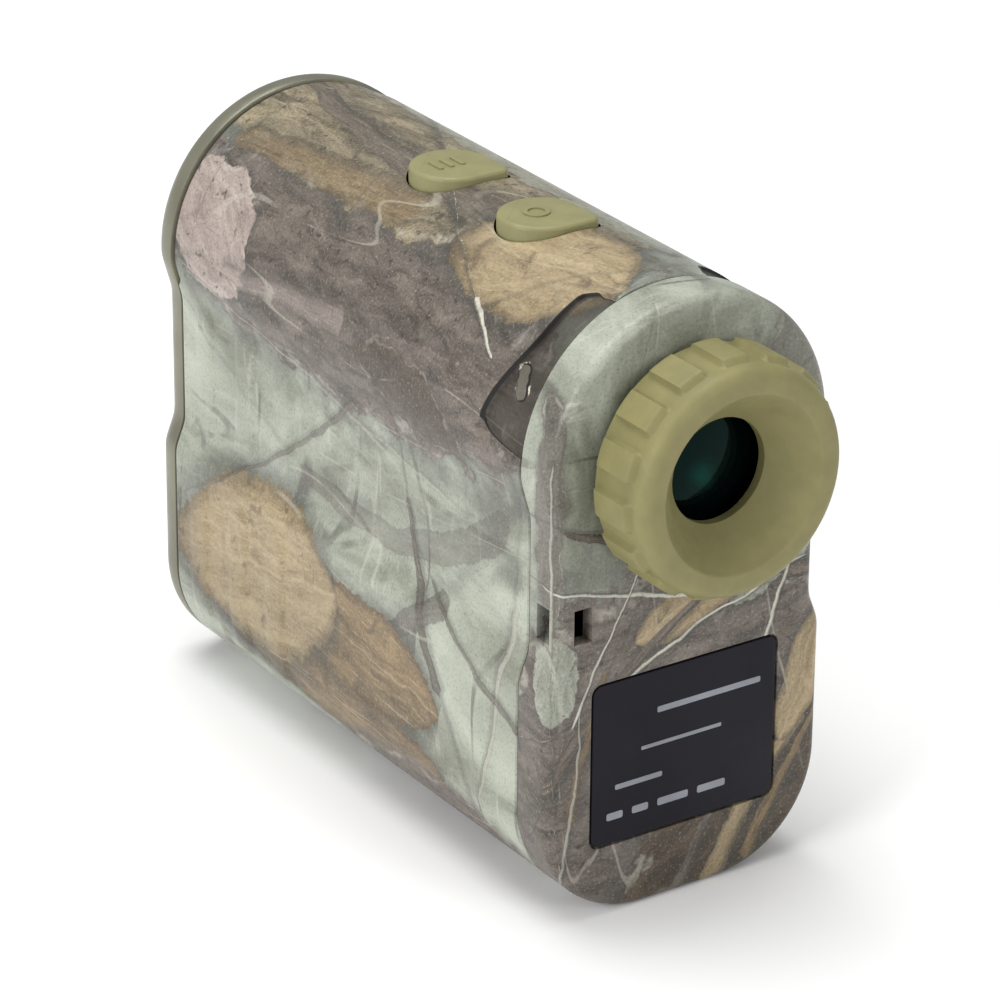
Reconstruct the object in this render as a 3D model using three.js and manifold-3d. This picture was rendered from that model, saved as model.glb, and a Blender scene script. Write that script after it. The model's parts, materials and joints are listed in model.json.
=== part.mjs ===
// Handheld laser rangefinder with a monocular sight, as an assembly of separate pieces.
// Millimetres. +Y is the aiming direction, +X the user's right, +Z up.
// The origin is under the middle of the object, on the surface that it stands on.
import * as THREE from 'three';
import { mergeVertices } from 'three/addons/utils/BufferGeometryUtils.js';
import Module from 'manifold-3d';

const wasm = await Module();
wasm.setup();

// ---- Driving dimensions: body outline, seen from behind ----
const barrelRadius = 20.5;
const barrelAxisZ = 59.2;
const waistHalfWidth = 19.0;
const waistTopZ = 53.5;
const waistBottomZ = 35.8;
const gripHalfWidth = 20.5;
const gripTopZ = 32.1;
const cornerRadius = 14.8;
const barrelFlankDrop = 0.6;      // the barrel's side ends this far below its axis

// ---- Driving dimensions: lengths along Y ----
const shellLength = 81.4;
const frontCoverDepth = 5;
const rearCoverDepth = 6.3;
const eyecupGap = 0.6;
const eyecupLength = 10.1;

// ---- Walls and clearances ----
const wall = 1.8;
const faceWall = 2;
const clearance = 0.3;
const runningClearance = 0.35;    // between pieces that turn or slide on each other
const sealWidth = 1;
const sealReach = 1.5;            // a seal reaches this far to each side of its seam
const frontEdgeRadius = 3.6;
const rearEdgeRadius = 1.4;
const doorRecess = 0.3;

// ---- Eyepiece ----
const eyecupRadius = 14.7;
const eyecupEdge = 1;
const mouthRadius = 11.2;
const sightRadius = 6.75;
const recessDepth = 5.3;
const diaphragm = 1.2;
const gripPadCount = 18;
const gripPadWidth = 2.7;
const gripPadLength = 6;
const gripPadRise = 0.7;
const eyeCellRadius = 11.2;
const eyeCellWall = 1.6;
const eyeCellLength = 18.9;
const eyeLensThickness = 4.4;
const lensSpacerLength = 4.5;
const eyeTubeWall = 1.3;
const eyeTubeLength = 9.5;
const eyeFlangeWidth = 2.2;
const focusTravel = 2.5;
const guidePinRadius = 0.6;

// ---- Objective and laser emitter ----
const objectiveRadius = 12.4;
const objectiveRingWall = 1.5;
const objectiveCellLength = 25;
const emitterAxisZ = 29.4;
const emitterLensRadius = 6.1;
const emitterRingWall = 1;
const emitterTubeLength = 24;
const lensRecess = 1.8;           // lens crown below the front face
const ringDepth = 6.7;
const ringLip = 0.6;

// ---- Buttons ----
const buttonRadius = 5.4;
const buttonTipRadius = 1.2;
const buttonRise = 0.9;           // flat top above the barrel's crown
const buttonOffsetX = -1.6;
const modeButtonY = 8.8;
const powerButtonY = -10.9;
const buttonTravel = 0.8;
const buttonFlange = 1.2;
const flangeThickness = 1;
const switchSize = 4.5;
const switchHeight = 1.3;
const plungerRadius = 1.2;
const buttonBoardThickness = 1;

// ---- Battery bay, two AAA cells side by side ----
const cellRadius = 5.25;
const cellLength = 44.5;
const cellNubRadius = 1.9;
const cellNubLength = 0.9;
const cellGap = 0.8;
const contactThickness = 0.5;
const springRoom = 4;
const springWire = 0.35;
const springTurns = 3;
const trayWall = 1;
const bayCentreY = -1.5;
const hingePinRadius = 0.8;
const hingeBarrelRadius = 1.9;
const hingeHalfLength = 7.5;
const doorSwingRadius = 2.85;
const hingeLugLength = 2.6;
const nailSlotHalfWidth = 4;
const springWideRadius = 3.6;
const springNarrowRadius = 2;
const doorSealWidth = 0.7;
const doorSealHeight = 0.5;

// ---- Screws, boards, label ----
const screwRadius = 0.95;
const screwHeadRadius = 1.9;
const screwHeadHeight = 1.3;
const frontScrewLength = 11.5;
const rearScrewLength = 13;
const bossRadius = 2.4;
const bossLength = 8.8;
const cornerScrewAngle = 35;      // degrees below the corner's centre
const crossReach = 1.1;
const crossHalfWidth = 0.2;
const boardThickness = 1.2;
const labelWidth = 27.3;
const labelHeight = 21.9;
const labelBottomZ = 9.8;
const labelThickness = 0.6;
const labelCorner = 1.2;

// ---- Lanyard bar at the left edge of the rear cover ----
const lanyardZ = 40.5;
const lanyardHeight = 4.6;
const rearWindowX = -15.35;
const rearWindowWidth = 2.6;
const sideWindowWidth = 2.6;
const sideWindowSetback = 3.1;    // window centre, behind the rear seam

// ---- Positions that follow ----
const overallLength = frontCoverDepth + shellLength + rearCoverDepth + eyecupGap + eyecupLength;
const frontFaceY = overallLength / 2;
const frontSeamY = frontFaceY - frontCoverDepth;
const rearSeamY = frontSeamY - shellLength;
const rearFaceY = rearSeamY - rearCoverDepth;
const eyecupBaseY = rearFaceY - eyecupGap;
const eyecupEndY = eyecupBaseY - eyecupLength;
const crownZ = barrelAxisZ + barrelRadius;
const flatHalfWidth = gripHalfWidth - cornerRadius;
const objectiveRingRadius = objectiveRadius + clearance + objectiveRingWall;
const emitterRingRadius = emitterLensRadius + clearance + emitterRingWall;
const lensRingFrontY = frontFaceY - 0.5;
const labelCentreZ = labelBottomZ + labelHeight / 2;
const roundSegments = 32;
const smallSegments = 16;

// ---------------------------------------------------------------- solids
function closedMesh(geometry) {
  const plain = geometry.clone();
  plain.deleteAttribute('normal');
  plain.deleteAttribute('uv');
  const merged = mergeVertices(plain, 1e-4);
  const corners = merged.index.array;
  const kept = [];
  for (let i = 0; i < corners.length; i += 3) {
    const [a, b, c] = corners.slice(i, i + 3);
    if (a !== b && b !== c && c !== a) kept.push(a, b, c);
  }
  merged.setIndex(kept);
  return merged;
}

function signedVolume(geometry) {
  const p = geometry.attributes.position;
  const index = geometry.index.array;
  const [a, b, c] = [new THREE.Vector3(), new THREE.Vector3(), new THREE.Vector3()];
  let sum = 0;
  for (let i = 0; i < index.length; i += 3) {
    a.fromBufferAttribute(p, index[i]);
    b.fromBufferAttribute(p, index[i + 1]);
    c.fromBufferAttribute(p, index[i + 2]);
    sum += a.dot(b.cross(c));
  }
  return sum / 6;
}

// A lathe profile may run either way round, so its faces are turned outwards here.
function facingOut(geometry) {
  const mesh = closedMesh(geometry);
  if (signedVolume(mesh) < 0) {
    const index = mesh.index.array;
    const turned = [];
    for (let i = 0; i < index.length; i += 3) {
      turned.push(index[i], index[i + 2], index[i + 1]);
    }
    mesh.setIndex(turned);
  }
  return mesh;
}

function toSolid(geometry) {
  const mesh = facingOut(geometry);
  return new wasm.Manifold(new wasm.Mesh({
    numProp: 3,
    vertProperties: new Float32Array(mesh.attributes.position.array),
    triVerts: new Uint32Array(mesh.index.array),
  }));
}

function toGeometry(solid) {
  const mesh = solid.getMesh();
  const geometry = new THREE.BufferGeometry();
  geometry.setAttribute('position', new THREE.BufferAttribute(new Float32Array(mesh.vertProperties), 3));
  geometry.setIndex(new THREE.BufferAttribute(new Uint32Array(mesh.triVerts), 1));
  return geometry;
}

function cut(base, ...tools) {
  let solid = toSolid(base);
  for (const tool of tools) solid = solid.subtract(toSolid(tool));
  return toGeometry(solid);
}

function join(base, ...others) {
  let solid = toSolid(base);
  for (const other of others) solid = solid.add(toSolid(other));
  return toGeometry(solid);
}

function keep(base, region) {
  return toGeometry(toSolid(base).intersect(toSolid(region)));
}

// A box given by its lowest and highest corners.
function block(low, high) {
  const box = new THREE.BoxGeometry(high[0] - low[0], high[1] - low[1], high[2] - low[2]);
  return box.translate((low[0] + high[0]) / 2, (low[1] + high[1]) / 2, (low[2] + high[2]) / 2);
}

// A shape drawn in X and Z, extruded from rearY to frontY.
function alongY(shape, rearY, frontY) {
  const depth = frontY - rearY;
  const body = new THREE.ExtrudeGeometry(shape, { depth, bevelEnabled: false, curveSegments: 4 });
  return body.rotateX(Math.PI / 2).translate(0, frontY, 0);
}

// A shape drawn in X and Y, extruded from lowZ to highZ.
function alongZ(shape, lowZ, highZ, curveSegments = 4) {
  const body = new THREE.ExtrudeGeometry(shape, { depth: highZ - lowZ, bevelEnabled: false, curveSegments });
  return body.translate(0, 0, lowZ);
}

// A shape drawn in Y and Z, extruded across X.
function alongX(shape, lowX, highX) {
  const body = new THREE.ExtrudeGeometry(shape, { depth: highX - lowX, bevelEnabled: false });
  return body.rotateX(Math.PI / 2).rotateZ(Math.PI / 2).translate(lowX, 0, 0);
}

// A profile of [radius, y] turned about the Y direction at height axisZ.
function turned(profile, axisZ, axisX = 0, segments = roundSegments) {
  const points = profile.map(([radius, y]) => new THREE.Vector2(radius, y));
  return facingOut(new THREE.LatheGeometry(points, segments)).translate(axisX, 0, axisZ);
}

function ring(innerRadius, outerRadius, rearY, frontY, axisZ, axisX = 0, segments = roundSegments) {
  const profile = [
    [innerRadius, rearY], [outerRadius, rearY],
    [outerRadius, frontY], [innerRadius, frontY], [innerRadius, rearY],
  ];
  return turned(profile, axisZ, axisX, segments);
}

function rod(radius, rearY, frontY, axisZ, axisX = 0, segments = smallSegments) {
  return turned([[0, rearY], [radius, rearY], [radius, frontY], [0, frontY]], axisZ, axisX, segments);
}

function rodAcross(radius, lowX, highX, y, z) {
  const body = new THREE.CylinderGeometry(radius, radius, highX - lowX, smallSegments);
  return body.rotateZ(Math.PI / 2).translate((lowX + highX) / 2, y, z);
}

function roundedRectangle(width, height, radius, centreX = 0, centreZ = 0) {
  const [w, h] = [width / 2, height / 2];
  const shape = new THREE.Shape();
  const quarter = Math.PI / 2;
  shape.absarc(centreX + w - radius, centreZ + h - radius, radius, 0, quarter);
  shape.absarc(centreX - w + radius, centreZ + h - radius, radius, quarter, 2 * quarter);
  shape.absarc(centreX - w + radius, centreZ - h + radius, radius, 2 * quarter, 3 * quarter);
  shape.absarc(centreX + w - radius, centreZ - h + radius, radius, 3 * quarter, 4 * quarter);
  shape.closePath();
  return shape;
}

// ---------------------------------------------------------------- body outline
// The outline of the body set in by a distance: rounded base, grip, waist and barrel.
function bodyOutline(inset) {
  const right = [];
  const addArc = (centreX, centreZ, radius, from, to, steps) => {
    for (let i = 0; i <= steps; i += 1) {
      const angle = THREE.MathUtils.degToRad(from + (to - from) * i / steps);
      right.push(new THREE.Vector2(centreX + radius * Math.cos(angle), centreZ + radius * Math.sin(angle)));
    }
  };
  addArc(flatHalfWidth, cornerRadius, cornerRadius - inset, -90, 0, 6);
  right.push(new THREE.Vector2(gripHalfWidth - inset, gripTopZ));
  right.push(new THREE.Vector2(waistHalfWidth - inset, waistBottomZ));
  right.push(new THREE.Vector2(waistHalfWidth - inset, waistTopZ));
  right.push(new THREE.Vector2(barrelRadius - inset, barrelAxisZ - barrelFlankDrop));
  addArc(0, barrelAxisZ, barrelRadius - inset, 0, 90, 10);
  const left = right.slice(0, -1).reverse().map((point) => new THREE.Vector2(-point.x, point.y));
  return [...right, ...left];
}

function bodyRing(outerInset, innerInset, rearY, frontY) {
  const shape = new THREE.Shape(bodyOutline(outerInset));
  shape.holes.push(new THREE.Path(bodyOutline(innerInset)));
  return alongY(shape, rearY, frontY);
}

// A solid through body outlines, given as [inset, y] from one end to the other.
function bodyLoft(profile) {
  const outlines = profile.map(([inset]) => bodyOutline(inset));
  const count = outlines[0].length;
  const places = [];
  outlines.forEach((outline, i) => {
    for (const point of outline) places.push(point.x, profile[i][1], point.y);
  });
  const corners = [];
  for (let i = 0; i + 1 < profile.length; i += 1) {
    for (let j = 0; j < count; j += 1) {
      const [a, b] = [i * count + j, i * count + (j + 1) % count];
      corners.push(a, a + count, b + count, a, b + count, b);
    }
  }
  const last = (profile.length - 1) * count;
  const startCap = THREE.ShapeUtils.triangulateShape(outlines[0], []);
  const endCap = THREE.ShapeUtils.triangulateShape(outlines.at(-1), []);
  for (const [a, b, c] of startCap) corners.push(a, b, c);
  for (const [a, b, c] of endCap) corners.push(last + a, last + c, last + b);
  const geometry = new THREE.BufferGeometry();
  geometry.setAttribute('position', new THREE.Float32BufferAttribute(places, 3));
  geometry.setIndex(corners);
  return geometry;
}

// A cap with the body's outline, its edge rounded on the side that faces away from the shell.
function coverBlank(faceY, seamY, edgeRadius) {
  const away = Math.sign(faceY - seamY);
  const steps = 3;
  const profile = [[0, seamY]];
  for (let i = 0; i <= steps; i += 1) {
    const angle = (Math.PI / 2) * (i / steps);
    profile.push([edgeRadius * (1 - Math.cos(angle)), faceY - away * edgeRadius * (1 - Math.sin(angle))]);
  }
  return bodyLoft(profile);
}

// ---------------------------------------------------------------- scene graph
const rangefinder = new THREE.Group();
const finishes = {};

function finish(name, color, roughness, metalness = 0) {
  finishes[name] = new THREE.MeshStandardMaterial({ color, roughness, metalness });
}

finish('camoFilm', 0x8f8a72, 0.42);
finish('pearlPlastic', 0x7c7d6c, 0.38);
finish('oliveRubber', 0x8a8354, 0.62);
finish('oliveButton', 0x94905f, 0.5);
finish('blackSatin', 0x15161a, 0.35);
finish('blackPlastic', 0x1c1c1d, 0.55);
finish('sealRubber', 0x101010, 0.8);
finish('coatedGlass', 0x1d4a3c, 0.05);
finish('clearGlass', 0xbfd0cc, 0.05);
finish('anodised', 0x202224, 0.4, 0.7);
finish('steel', 0x9a9a98, 0.35, 0.9);
finish('goldContact', 0xb89a5a, 0.35, 0.9);
finish('board', 0x1f5a36, 0.5);
finish('cellWrap', 0x3c4a5c, 0.4);
finish('ivoryPlastic', 0xc9c4b4, 0.55);

function piece(name, geometry, finishName) {
  const mesh = new THREE.Mesh(closedMesh(geometry), finishes[finishName]);
  mesh.name = name;
  rangefinder.add(mesh);
  return mesh;
}

// ---------------------------------------------------------------- battery bay layout
const doorSealInset = doorRecess + wall + clearance;
const trayInset = doorSealInset + doorSealHeight + clearance;
const cellAxisX = cellRadius + cellGap / 2;
const bayLength = cellLength + cellNubLength + springRoom + 2 * contactThickness + 4 * clearance;
const bayRearY = bayCentreY - bayLength / 2;
const bayFrontY = bayCentreY + bayLength / 2;
const bayHalfWidth = cellAxisX + cellRadius + 2 * clearance;
const trayHalfWidth = bayHalfWidth + trayWall;
const trayBottomZ = floorHeight(trayHalfWidth, trayInset);
const cellAxisZ = trayBottomZ + cellRadius;
const trayTopZ = cellAxisZ + cellRadius + clearance + trayWall;
const doorHalfWidth = trayHalfWidth - clearance;
const doorRearY = bayRearY - trayWall;
const doorFrontY = bayFrontY + trayWall;
const hingeY = doorFrontY + clearance + hingeBarrelRadius;
const hingeZ = doorRecess + hingeBarrelRadius;
const hingeNotchFrontY = hingeY + hingeBarrelRadius + clearance;

// Height of the rounded base at a distance x from the middle, inset into the body.
function floorHeight(x, inset) {
  const acrossCorner = Math.max(0, x - flatHalfWidth);
  return cornerRadius - Math.sqrt((cornerRadius - inset) ** 2 - acrossCorner ** 2);
}

function batteryTray() {
  const outside = block(
    [-trayHalfWidth, bayRearY - trayWall, trayBottomZ],
    [trayHalfWidth, bayFrontY + trayWall, trayTopZ],
  );
  const bay = block(
    [-bayHalfWidth, bayRearY, trayBottomZ - 1],
    [bayHalfWidth, bayFrontY, trayTopZ - trayWall],
  );
  return cut(outside, bay);
}

function batteryCell(sign, noseForward) {
  const nose = noseForward ? 1 : -1;
  const baseY = noseForward ? bayRearY + contactThickness + 2 * clearance + springRoom
    : bayFrontY - contactThickness - 2 * clearance - springRoom;
  const shoulderY = baseY + nose * cellLength;
  const nubY = shoulderY + nose * cellNubLength;
  const edge = 0.4;
  const profile = [
    [0, baseY], [cellRadius - edge, baseY], [cellRadius, baseY + nose * edge],
    [cellRadius, shoulderY - nose * edge], [cellRadius - edge, shoulderY],
    [cellNubRadius, shoulderY], [cellNubRadius, nubY], [0, nubY],
  ];
  return turned(profile, cellAxisZ, sign * cellAxisX, smallSegments);
}

function contactPlate(sign, atFront) {
  const y = atFront ? bayFrontY - clearance : bayRearY + clearance;
  const depth = atFront ? -contactThickness : contactThickness;
  const x = sign * cellAxisX;
  const half = cellRadius - 1;
  const [rearY, frontY] = [Math.min(y, y + depth), Math.max(y, y + depth)];
  return block([x - half, rearY, cellAxisZ - half], [x + half, frontY, cellAxisZ + half]);
}

// A conical compression spring, wide at its plate and narrow at the cell.
function batterySpring(sign, atFront) {
  const plateDepth = contactThickness + 2 * clearance;
  const plateY = atFront ? bayFrontY - plateDepth : bayRearY + plateDepth;
  const towardsCell = atFront ? -1 : 1;
  const points = [];
  const steps = springTurns * 8;
  for (let i = 0; i <= steps; i += 1) {
    const share = i / steps;
    const angle = share * springTurns * 2 * Math.PI;
    const radius = springWideRadius + (springNarrowRadius - springWideRadius) * share;
    const y = plateY + towardsCell * (springWire + share * (springRoom - 2 * springWire - clearance));
    const [across, up] = [radius * Math.cos(angle), radius * Math.sin(angle)];
    points.push(new THREE.Vector3(sign * cellAxisX + across, y, cellAxisZ + up));
  }
  const section = new THREE.Shape();
  section.absarc(0, 0, springWire, 0, 2 * Math.PI);
  const path = new THREE.CatmullRomCurve3(points);
  return new THREE.ExtrudeGeometry(section, { steps, extrudePath: path, curveSegments: 3 });
}

// The door follows the rounded base; a narrower tongue joins it to the hinge barrel.
// Beside the tongue its front edge is hollowed, so that it swings clear of the doorway.
function batteryDoor() {
  const wideOutline = cut(
    block([-doorHalfWidth, doorRearY, -1], [doorHalfWidth, doorFrontY, cornerRadius]),
    rodAcross(doorSwingRadius, -gripHalfWidth, gripHalfWidth, hingeY, hingeZ),
  );
  const tongueOutline = block(
    [-hingeHalfLength, doorFrontY - doorSwingRadius, -1],
    [hingeHalfLength, hingeY, cornerRadius],
  );
  const skin = keep(
    bodyRing(doorRecess, doorRecess + wall, doorRearY, hingeY),
    join(wideOutline, tongueOutline),
  );
  const barrel = rodAcross(hingeBarrelRadius, -hingeHalfLength, hingeHalfLength, hingeY, hingeZ);
  const pinHoleRadius = hingePinRadius + runningClearance;
  const pinHole = rodAcross(pinHoleRadius, -gripHalfWidth, gripHalfWidth, hingeY, hingeZ);
  const nailSlot = block(
    [-nailSlotHalfWidth, doorRearY - 1, -1],
    [nailSlotHalfWidth, doorRearY + 1.2, doorRecess + 0.6],
  );
  return cut(join(skin, barrel), pinHole, nailSlot);
}

// A gasket along the door's edge, curved like the door.
function doorSeal() {
  const half = doorHalfWidth - clearance;
  const [rearY, frontY] = [bayRearY - clearance, bayFrontY + clearance];
  const frame = cut(
    block([-half, rearY, -1], [half, frontY, cornerRadius]),
    block(
      [-half + doorSealWidth, rearY + doorSealWidth, -2],
      [half - doorSealWidth, frontY - doorSealWidth, cornerRadius + 1],
    ),
  );
  return keep(bodyRing(doorSealInset, doorSealInset + doorSealHeight, rearY, frontY), frame);
}

// ---------------------------------------------------------------- buttons
// A round button with one blunt square corner towards the right and the rear.
function buttonOutline(centreY, growth) {
  const radius = buttonRadius + growth;
  const tip = buttonTipRadius + growth;
  const shape = new THREE.Shape();
  shape.absarc(buttonOffsetX, centreY, radius, 0, 1.5 * Math.PI);
  shape.absarc(buttonOffsetX + radius - tip, centreY - radius + tip, tip, 1.5 * Math.PI, 2 * Math.PI);
  shape.closePath();
  return shape;
}

const buttonSegments = 12;
const buttonTopZ = crownZ + buttonRise;
const flangeCornerX = Math.abs(buttonOffsetX) + buttonRadius + buttonFlange;
const innerBarrel = barrelRadius - wall;
const flangeTopZ = barrelAxisZ + Math.sqrt(innerBarrel ** 2 - flangeCornerX ** 2) - clearance;
const flangeBottomZ = flangeTopZ - flangeThickness;
const switchTopZ = flangeBottomZ - buttonTravel - clearance;
const buttonBoardTopZ = switchTopZ - switchHeight - clearance;

function button(centreY) {
  return join(
    alongZ(buttonOutline(centreY, 0), flangeTopZ - 0.2, buttonTopZ, buttonSegments),
    alongZ(buttonOutline(centreY, buttonFlange), flangeBottomZ, flangeTopZ, buttonSegments),
  );
}

function buttonWell(centreY) {
  return alongZ(buttonOutline(centreY, clearance), barrelAxisZ, crownZ + 5, buttonSegments);
}

function tactSwitch(centreY) {
  const half = switchSize / 2;
  const bodyTopZ = switchTopZ - 0.4;
  const body = block(
    [buttonOffsetX - half, centreY - half, buttonBoardTopZ + clearance],
    [buttonOffsetX + half, centreY + half, bodyTopZ],
  );
  const plunger = new THREE.CylinderGeometry(plungerRadius, plungerRadius, 1, smallSegments);
  return join(body, plunger.rotateX(Math.PI / 2).translate(buttonOffsetX, centreY, switchTopZ - 0.5));
}

// ---------------------------------------------------------------- screws and bosses
const sealInner = wall + clearance + sealWidth;
const screwInset = sealInner + clearance + screwRadius;
const waistScrewX = waistHalfWidth - screwInset;
const waistScrewZ = waistBottomZ + 5.2;
const cornerScrewReach = cornerRadius - screwInset - clearance;
const cornerScrewX = flatHalfWidth + cornerScrewReach * Math.cos(THREE.MathUtils.degToRad(cornerScrewAngle));
const cornerScrewZ = cornerRadius - cornerScrewReach * Math.sin(THREE.MathUtils.degToRad(cornerScrewAngle));
const frontScrewPlaces = [
  [-waistScrewX, waistScrewZ], [waistScrewX, waistScrewZ],
  [-cornerScrewX, cornerScrewZ], [cornerScrewX, cornerScrewZ],
];
const rearScrewX = 10;
const rearScrewZ = labelBottomZ + 16.6;
const rearScrewPlaces = [[-rearScrewX, rearScrewZ], [rearScrewX, rearScrewZ]];
const frontBossY = frontSeamY - sealReach - clearance;
const rearBossY = rearSeamY + sealReach + clearance;
const screwHole = screwRadius + clearance;
const frontHeadY = frontFaceY - 0.5;
const rearHeadY = rearFaceY + labelThickness + 2 * clearance;

// A pan-head screw: head outwards along `out` (+1 front, -1 rear), with a cross recess.
function screw([x, z], headY, out, length) {
  const profile = [
    [0, headY], [screwHeadRadius - 0.3, headY], [screwHeadRadius, headY - out * 0.3],
    [screwHeadRadius, headY - out * screwHeadHeight], [screwRadius, headY - out * screwHeadHeight],
    [screwRadius, headY - out * (length - 0.8)], [0, headY - out * length],
  ];
  const body = turned(profile, z, x, 12);
  const deep = headY - out * 0.7;
  const [rearY, frontY] = [Math.min(deep, headY + out), Math.max(deep, headY + out)];
  const crossBar = (halfX, halfZ) => block([x - halfX, rearY, z - halfZ], [x + halfX, frontY, z + halfZ]);
  return cut(body, crossBar(crossReach, crossHalfWidth), crossBar(crossHalfWidth, crossReach));
}

// ---------------------------------------------------------------- housing
// A rib that ties a screw boss to the side wall beside it.
function wallRib(x, z, rearY) {
  const halfWidth = z > gripTopZ ? waistHalfWidth : gripHalfWidth;
  const outerX = Math.sign(x) * (halfWidth - wall / 2);
  return block([Math.min(x, outerX), rearY, z - 1], [Math.max(x, outerX), rearY + bossLength, z + 1]);
}

function mainShell() {
  const sleeve = bodyRing(0, wall, rearSeamY + clearance / 2, frontSeamY - clearance / 2);
  const boss = ([x, z], rearY) => rod(bossRadius, rearY, rearY + bossLength, z, x);
  const frontBosses = frontScrewPlaces.map((place) => boss(place, frontBossY - bossLength));
  const rearBosses = rearScrewPlaces.map((place) => boss(place, rearBossY));
  const ribs = [
    ...frontScrewPlaces.map(([x, z]) => wallRib(x, z, frontBossY - bossLength)),
    ...rearScrewPlaces.map(([x, z]) => wallRib(x, z, rearBossY)),
  ];
  const lugInnerX = hingeHalfLength + clearance;
  const lugs = [-1, 1].map((sign) => {
    const [x0, x1] = [sign * lugInnerX, sign * (lugInnerX + hingeLugLength)];
    return block(
      [Math.min(x0, x1), doorFrontY + clearance, hingeZ - hingePinRadius],
      [Math.max(x0, x1), hingeNotchFrontY, hingeZ + hingePinRadius + 1.6],
    );
  });
  const body = join(sleeve, ...frontBosses, ...rearBosses, ...ribs, ...lugs);
  const screwHoles = [
    ...frontScrewPlaces.map(([x, z]) => rod(screwHole, frontBossY - bossLength - 1, frontBossY + 1, z, x)),
    ...rearScrewPlaces.map(([x, z]) => rod(screwHole, rearBossY - 1, rearBossY + bossLength + 1, z, x)),
  ];
  const doorway = block(
    [-doorHalfWidth - clearance, doorRearY - clearance, -1],
    [doorHalfWidth + clearance, doorFrontY + clearance, trayBottomZ],
  );
  const hingeNotch = block([-lugInnerX, doorFrontY, -1], [lugInnerX, hingeNotchFrontY, trayBottomZ]);
  const pinReach = lugInnerX + hingeLugLength - 0.6;
  const pinHole = rodAcross(hingePinRadius + clearance, -pinReach, pinReach, hingeY, hingeZ);
  const wells = [buttonWell(modeButtonY), buttonWell(powerButtonY)];
  return cut(body, ...screwHoles, doorway, hingeNotch, pinHole, ...wells);
}

function frontCover() {
  const blank = coverBlank(frontFaceY, frontSeamY + clearance / 2, frontEdgeRadius);
  const pocket = alongY(new THREE.Shape(bodyOutline(wall)), frontSeamY - 1, frontFaceY - faceWall);
  const lensHole = (ringRadius, axisZ) => (
    rod(ringRadius + clearance, frontSeamY, frontFaceY + 1, axisZ, 0, roundSegments)
  );
  const lensHoles = [lensHole(objectiveRingRadius, barrelAxisZ), lensHole(emitterRingRadius, emitterAxisZ)];
  const screwWays = frontScrewPlaces.flatMap(([x, z]) => [
    rod(screwHole, frontSeamY, frontFaceY + 1, z, x),
    rod(screwHeadRadius + clearance, frontHeadY - screwHeadHeight - clearance, frontFaceY + 1, z, x),
  ]);
  const postRearY = frontSeamY + sealReach + clearance;
  const post = ([x, z]) => keep(rod(bossRadius, postRearY, frontFaceY - 1, z, x), blank);
  const posts = frontScrewPlaces.map(post);
  return cut(join(cut(blank, pocket), ...posts), ...lensHoles, ...screwWays);
}

function labelOutline(growth) {
  const [width, height] = [labelWidth + 2 * growth, labelHeight + 2 * growth];
  return roundedRectangle(width, height, labelCorner + growth, 0, labelCentreZ);
}

function rearCover() {
  const blank = coverBlank(rearFaceY, rearSeamY - clearance / 2, rearEdgeRadius);
  const pocket = alongY(new THREE.Shape(bodyOutline(wall)), rearFaceY + faceWall, rearSeamY + 1);
  const eyeHoleRadius = eyeCellRadius + runningClearance;
  const eyeHole = rod(eyeHoleRadius, rearFaceY - 1, rearSeamY, barrelAxisZ, 0, roundSegments);
  const labelSeat = alongY(labelOutline(clearance), rearFaceY - 1, rearFaceY + labelThickness + clearance);
  const posts = rearScrewPlaces.map(([x, z]) => rod(bossRadius, rearFaceY + 1, rearBossY - clearance, z, x));
  const screwWays = rearScrewPlaces.flatMap(([x, z]) => [
    rod(screwHole, rearFaceY - 1, rearBossY, z, x),
    rod(screwHeadRadius + clearance, rearFaceY - 1, rearHeadY + screwHeadHeight + clearance, z, x),
  ]);
  const windowLow = lanyardZ - lanyardHeight / 2;
  const windowHigh = lanyardZ + lanyardHeight / 2;
  const rearWindow = block(
    [rearWindowX - rearWindowWidth / 2, rearFaceY - 1, windowLow],
    [rearWindowX + rearWindowWidth / 2, rearFaceY + faceWall + 1, windowHigh],
  );
  const sideY = rearSeamY - sideWindowSetback;
  const sideWindow = block(
    [-gripHalfWidth - 1, sideY - sideWindowWidth / 2, windowLow],
    [-waistHalfWidth + wall + 1, sideY + sideWindowWidth / 2, windowHigh],
  );
  return cut(join(cut(blank, pocket), ...posts), eyeHole, labelSeat, ...screwWays, rearWindow, sideWindow);
}

// ---------------------------------------------------------------- optics
// A ring that holds a lens behind its front lip.
function lensRing(lensRadius, outerRadius, axisZ) {
  const frontY = lensRingFrontY;
  const profile = [
    [lensRadius - ringLip, frontY], [outerRadius, frontY], [outerRadius, frontY - ringDepth],
    [lensRadius + clearance, frontY - ringDepth], [lensRadius + clearance, frontY - 1],
    [lensRadius - ringLip, frontY - 1], [lensRadius - ringLip, frontY],
  ];
  return turned(profile, axisZ);
}

// A lens with a domed front and a rear that is flat or domed, and a straight rim.
function lens(radius, crownY, rise, thickness, rearRise, axisZ, axisDirection = 1) {
  const profile = [];
  const steps = 3;
  for (let i = 0; i <= steps; i += 1) {
    const share = i / steps;
    profile.push([radius * share, crownY - axisDirection * rise * share ** 2]);
  }
  const rimY = crownY - axisDirection * (thickness - rearRise);
  for (let i = steps; i >= 0; i -= 1) {
    const share = i / steps;
    profile.push([radius * share, rimY - axisDirection * rearRise * (1 - share ** 2)]);
  }
  return turned(profile, axisZ);
}

const objectiveCellFrontY = lensRingFrontY - ringDepth - clearance;
const objectiveCellRearY = objectiveCellFrontY - objectiveCellLength;

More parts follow.
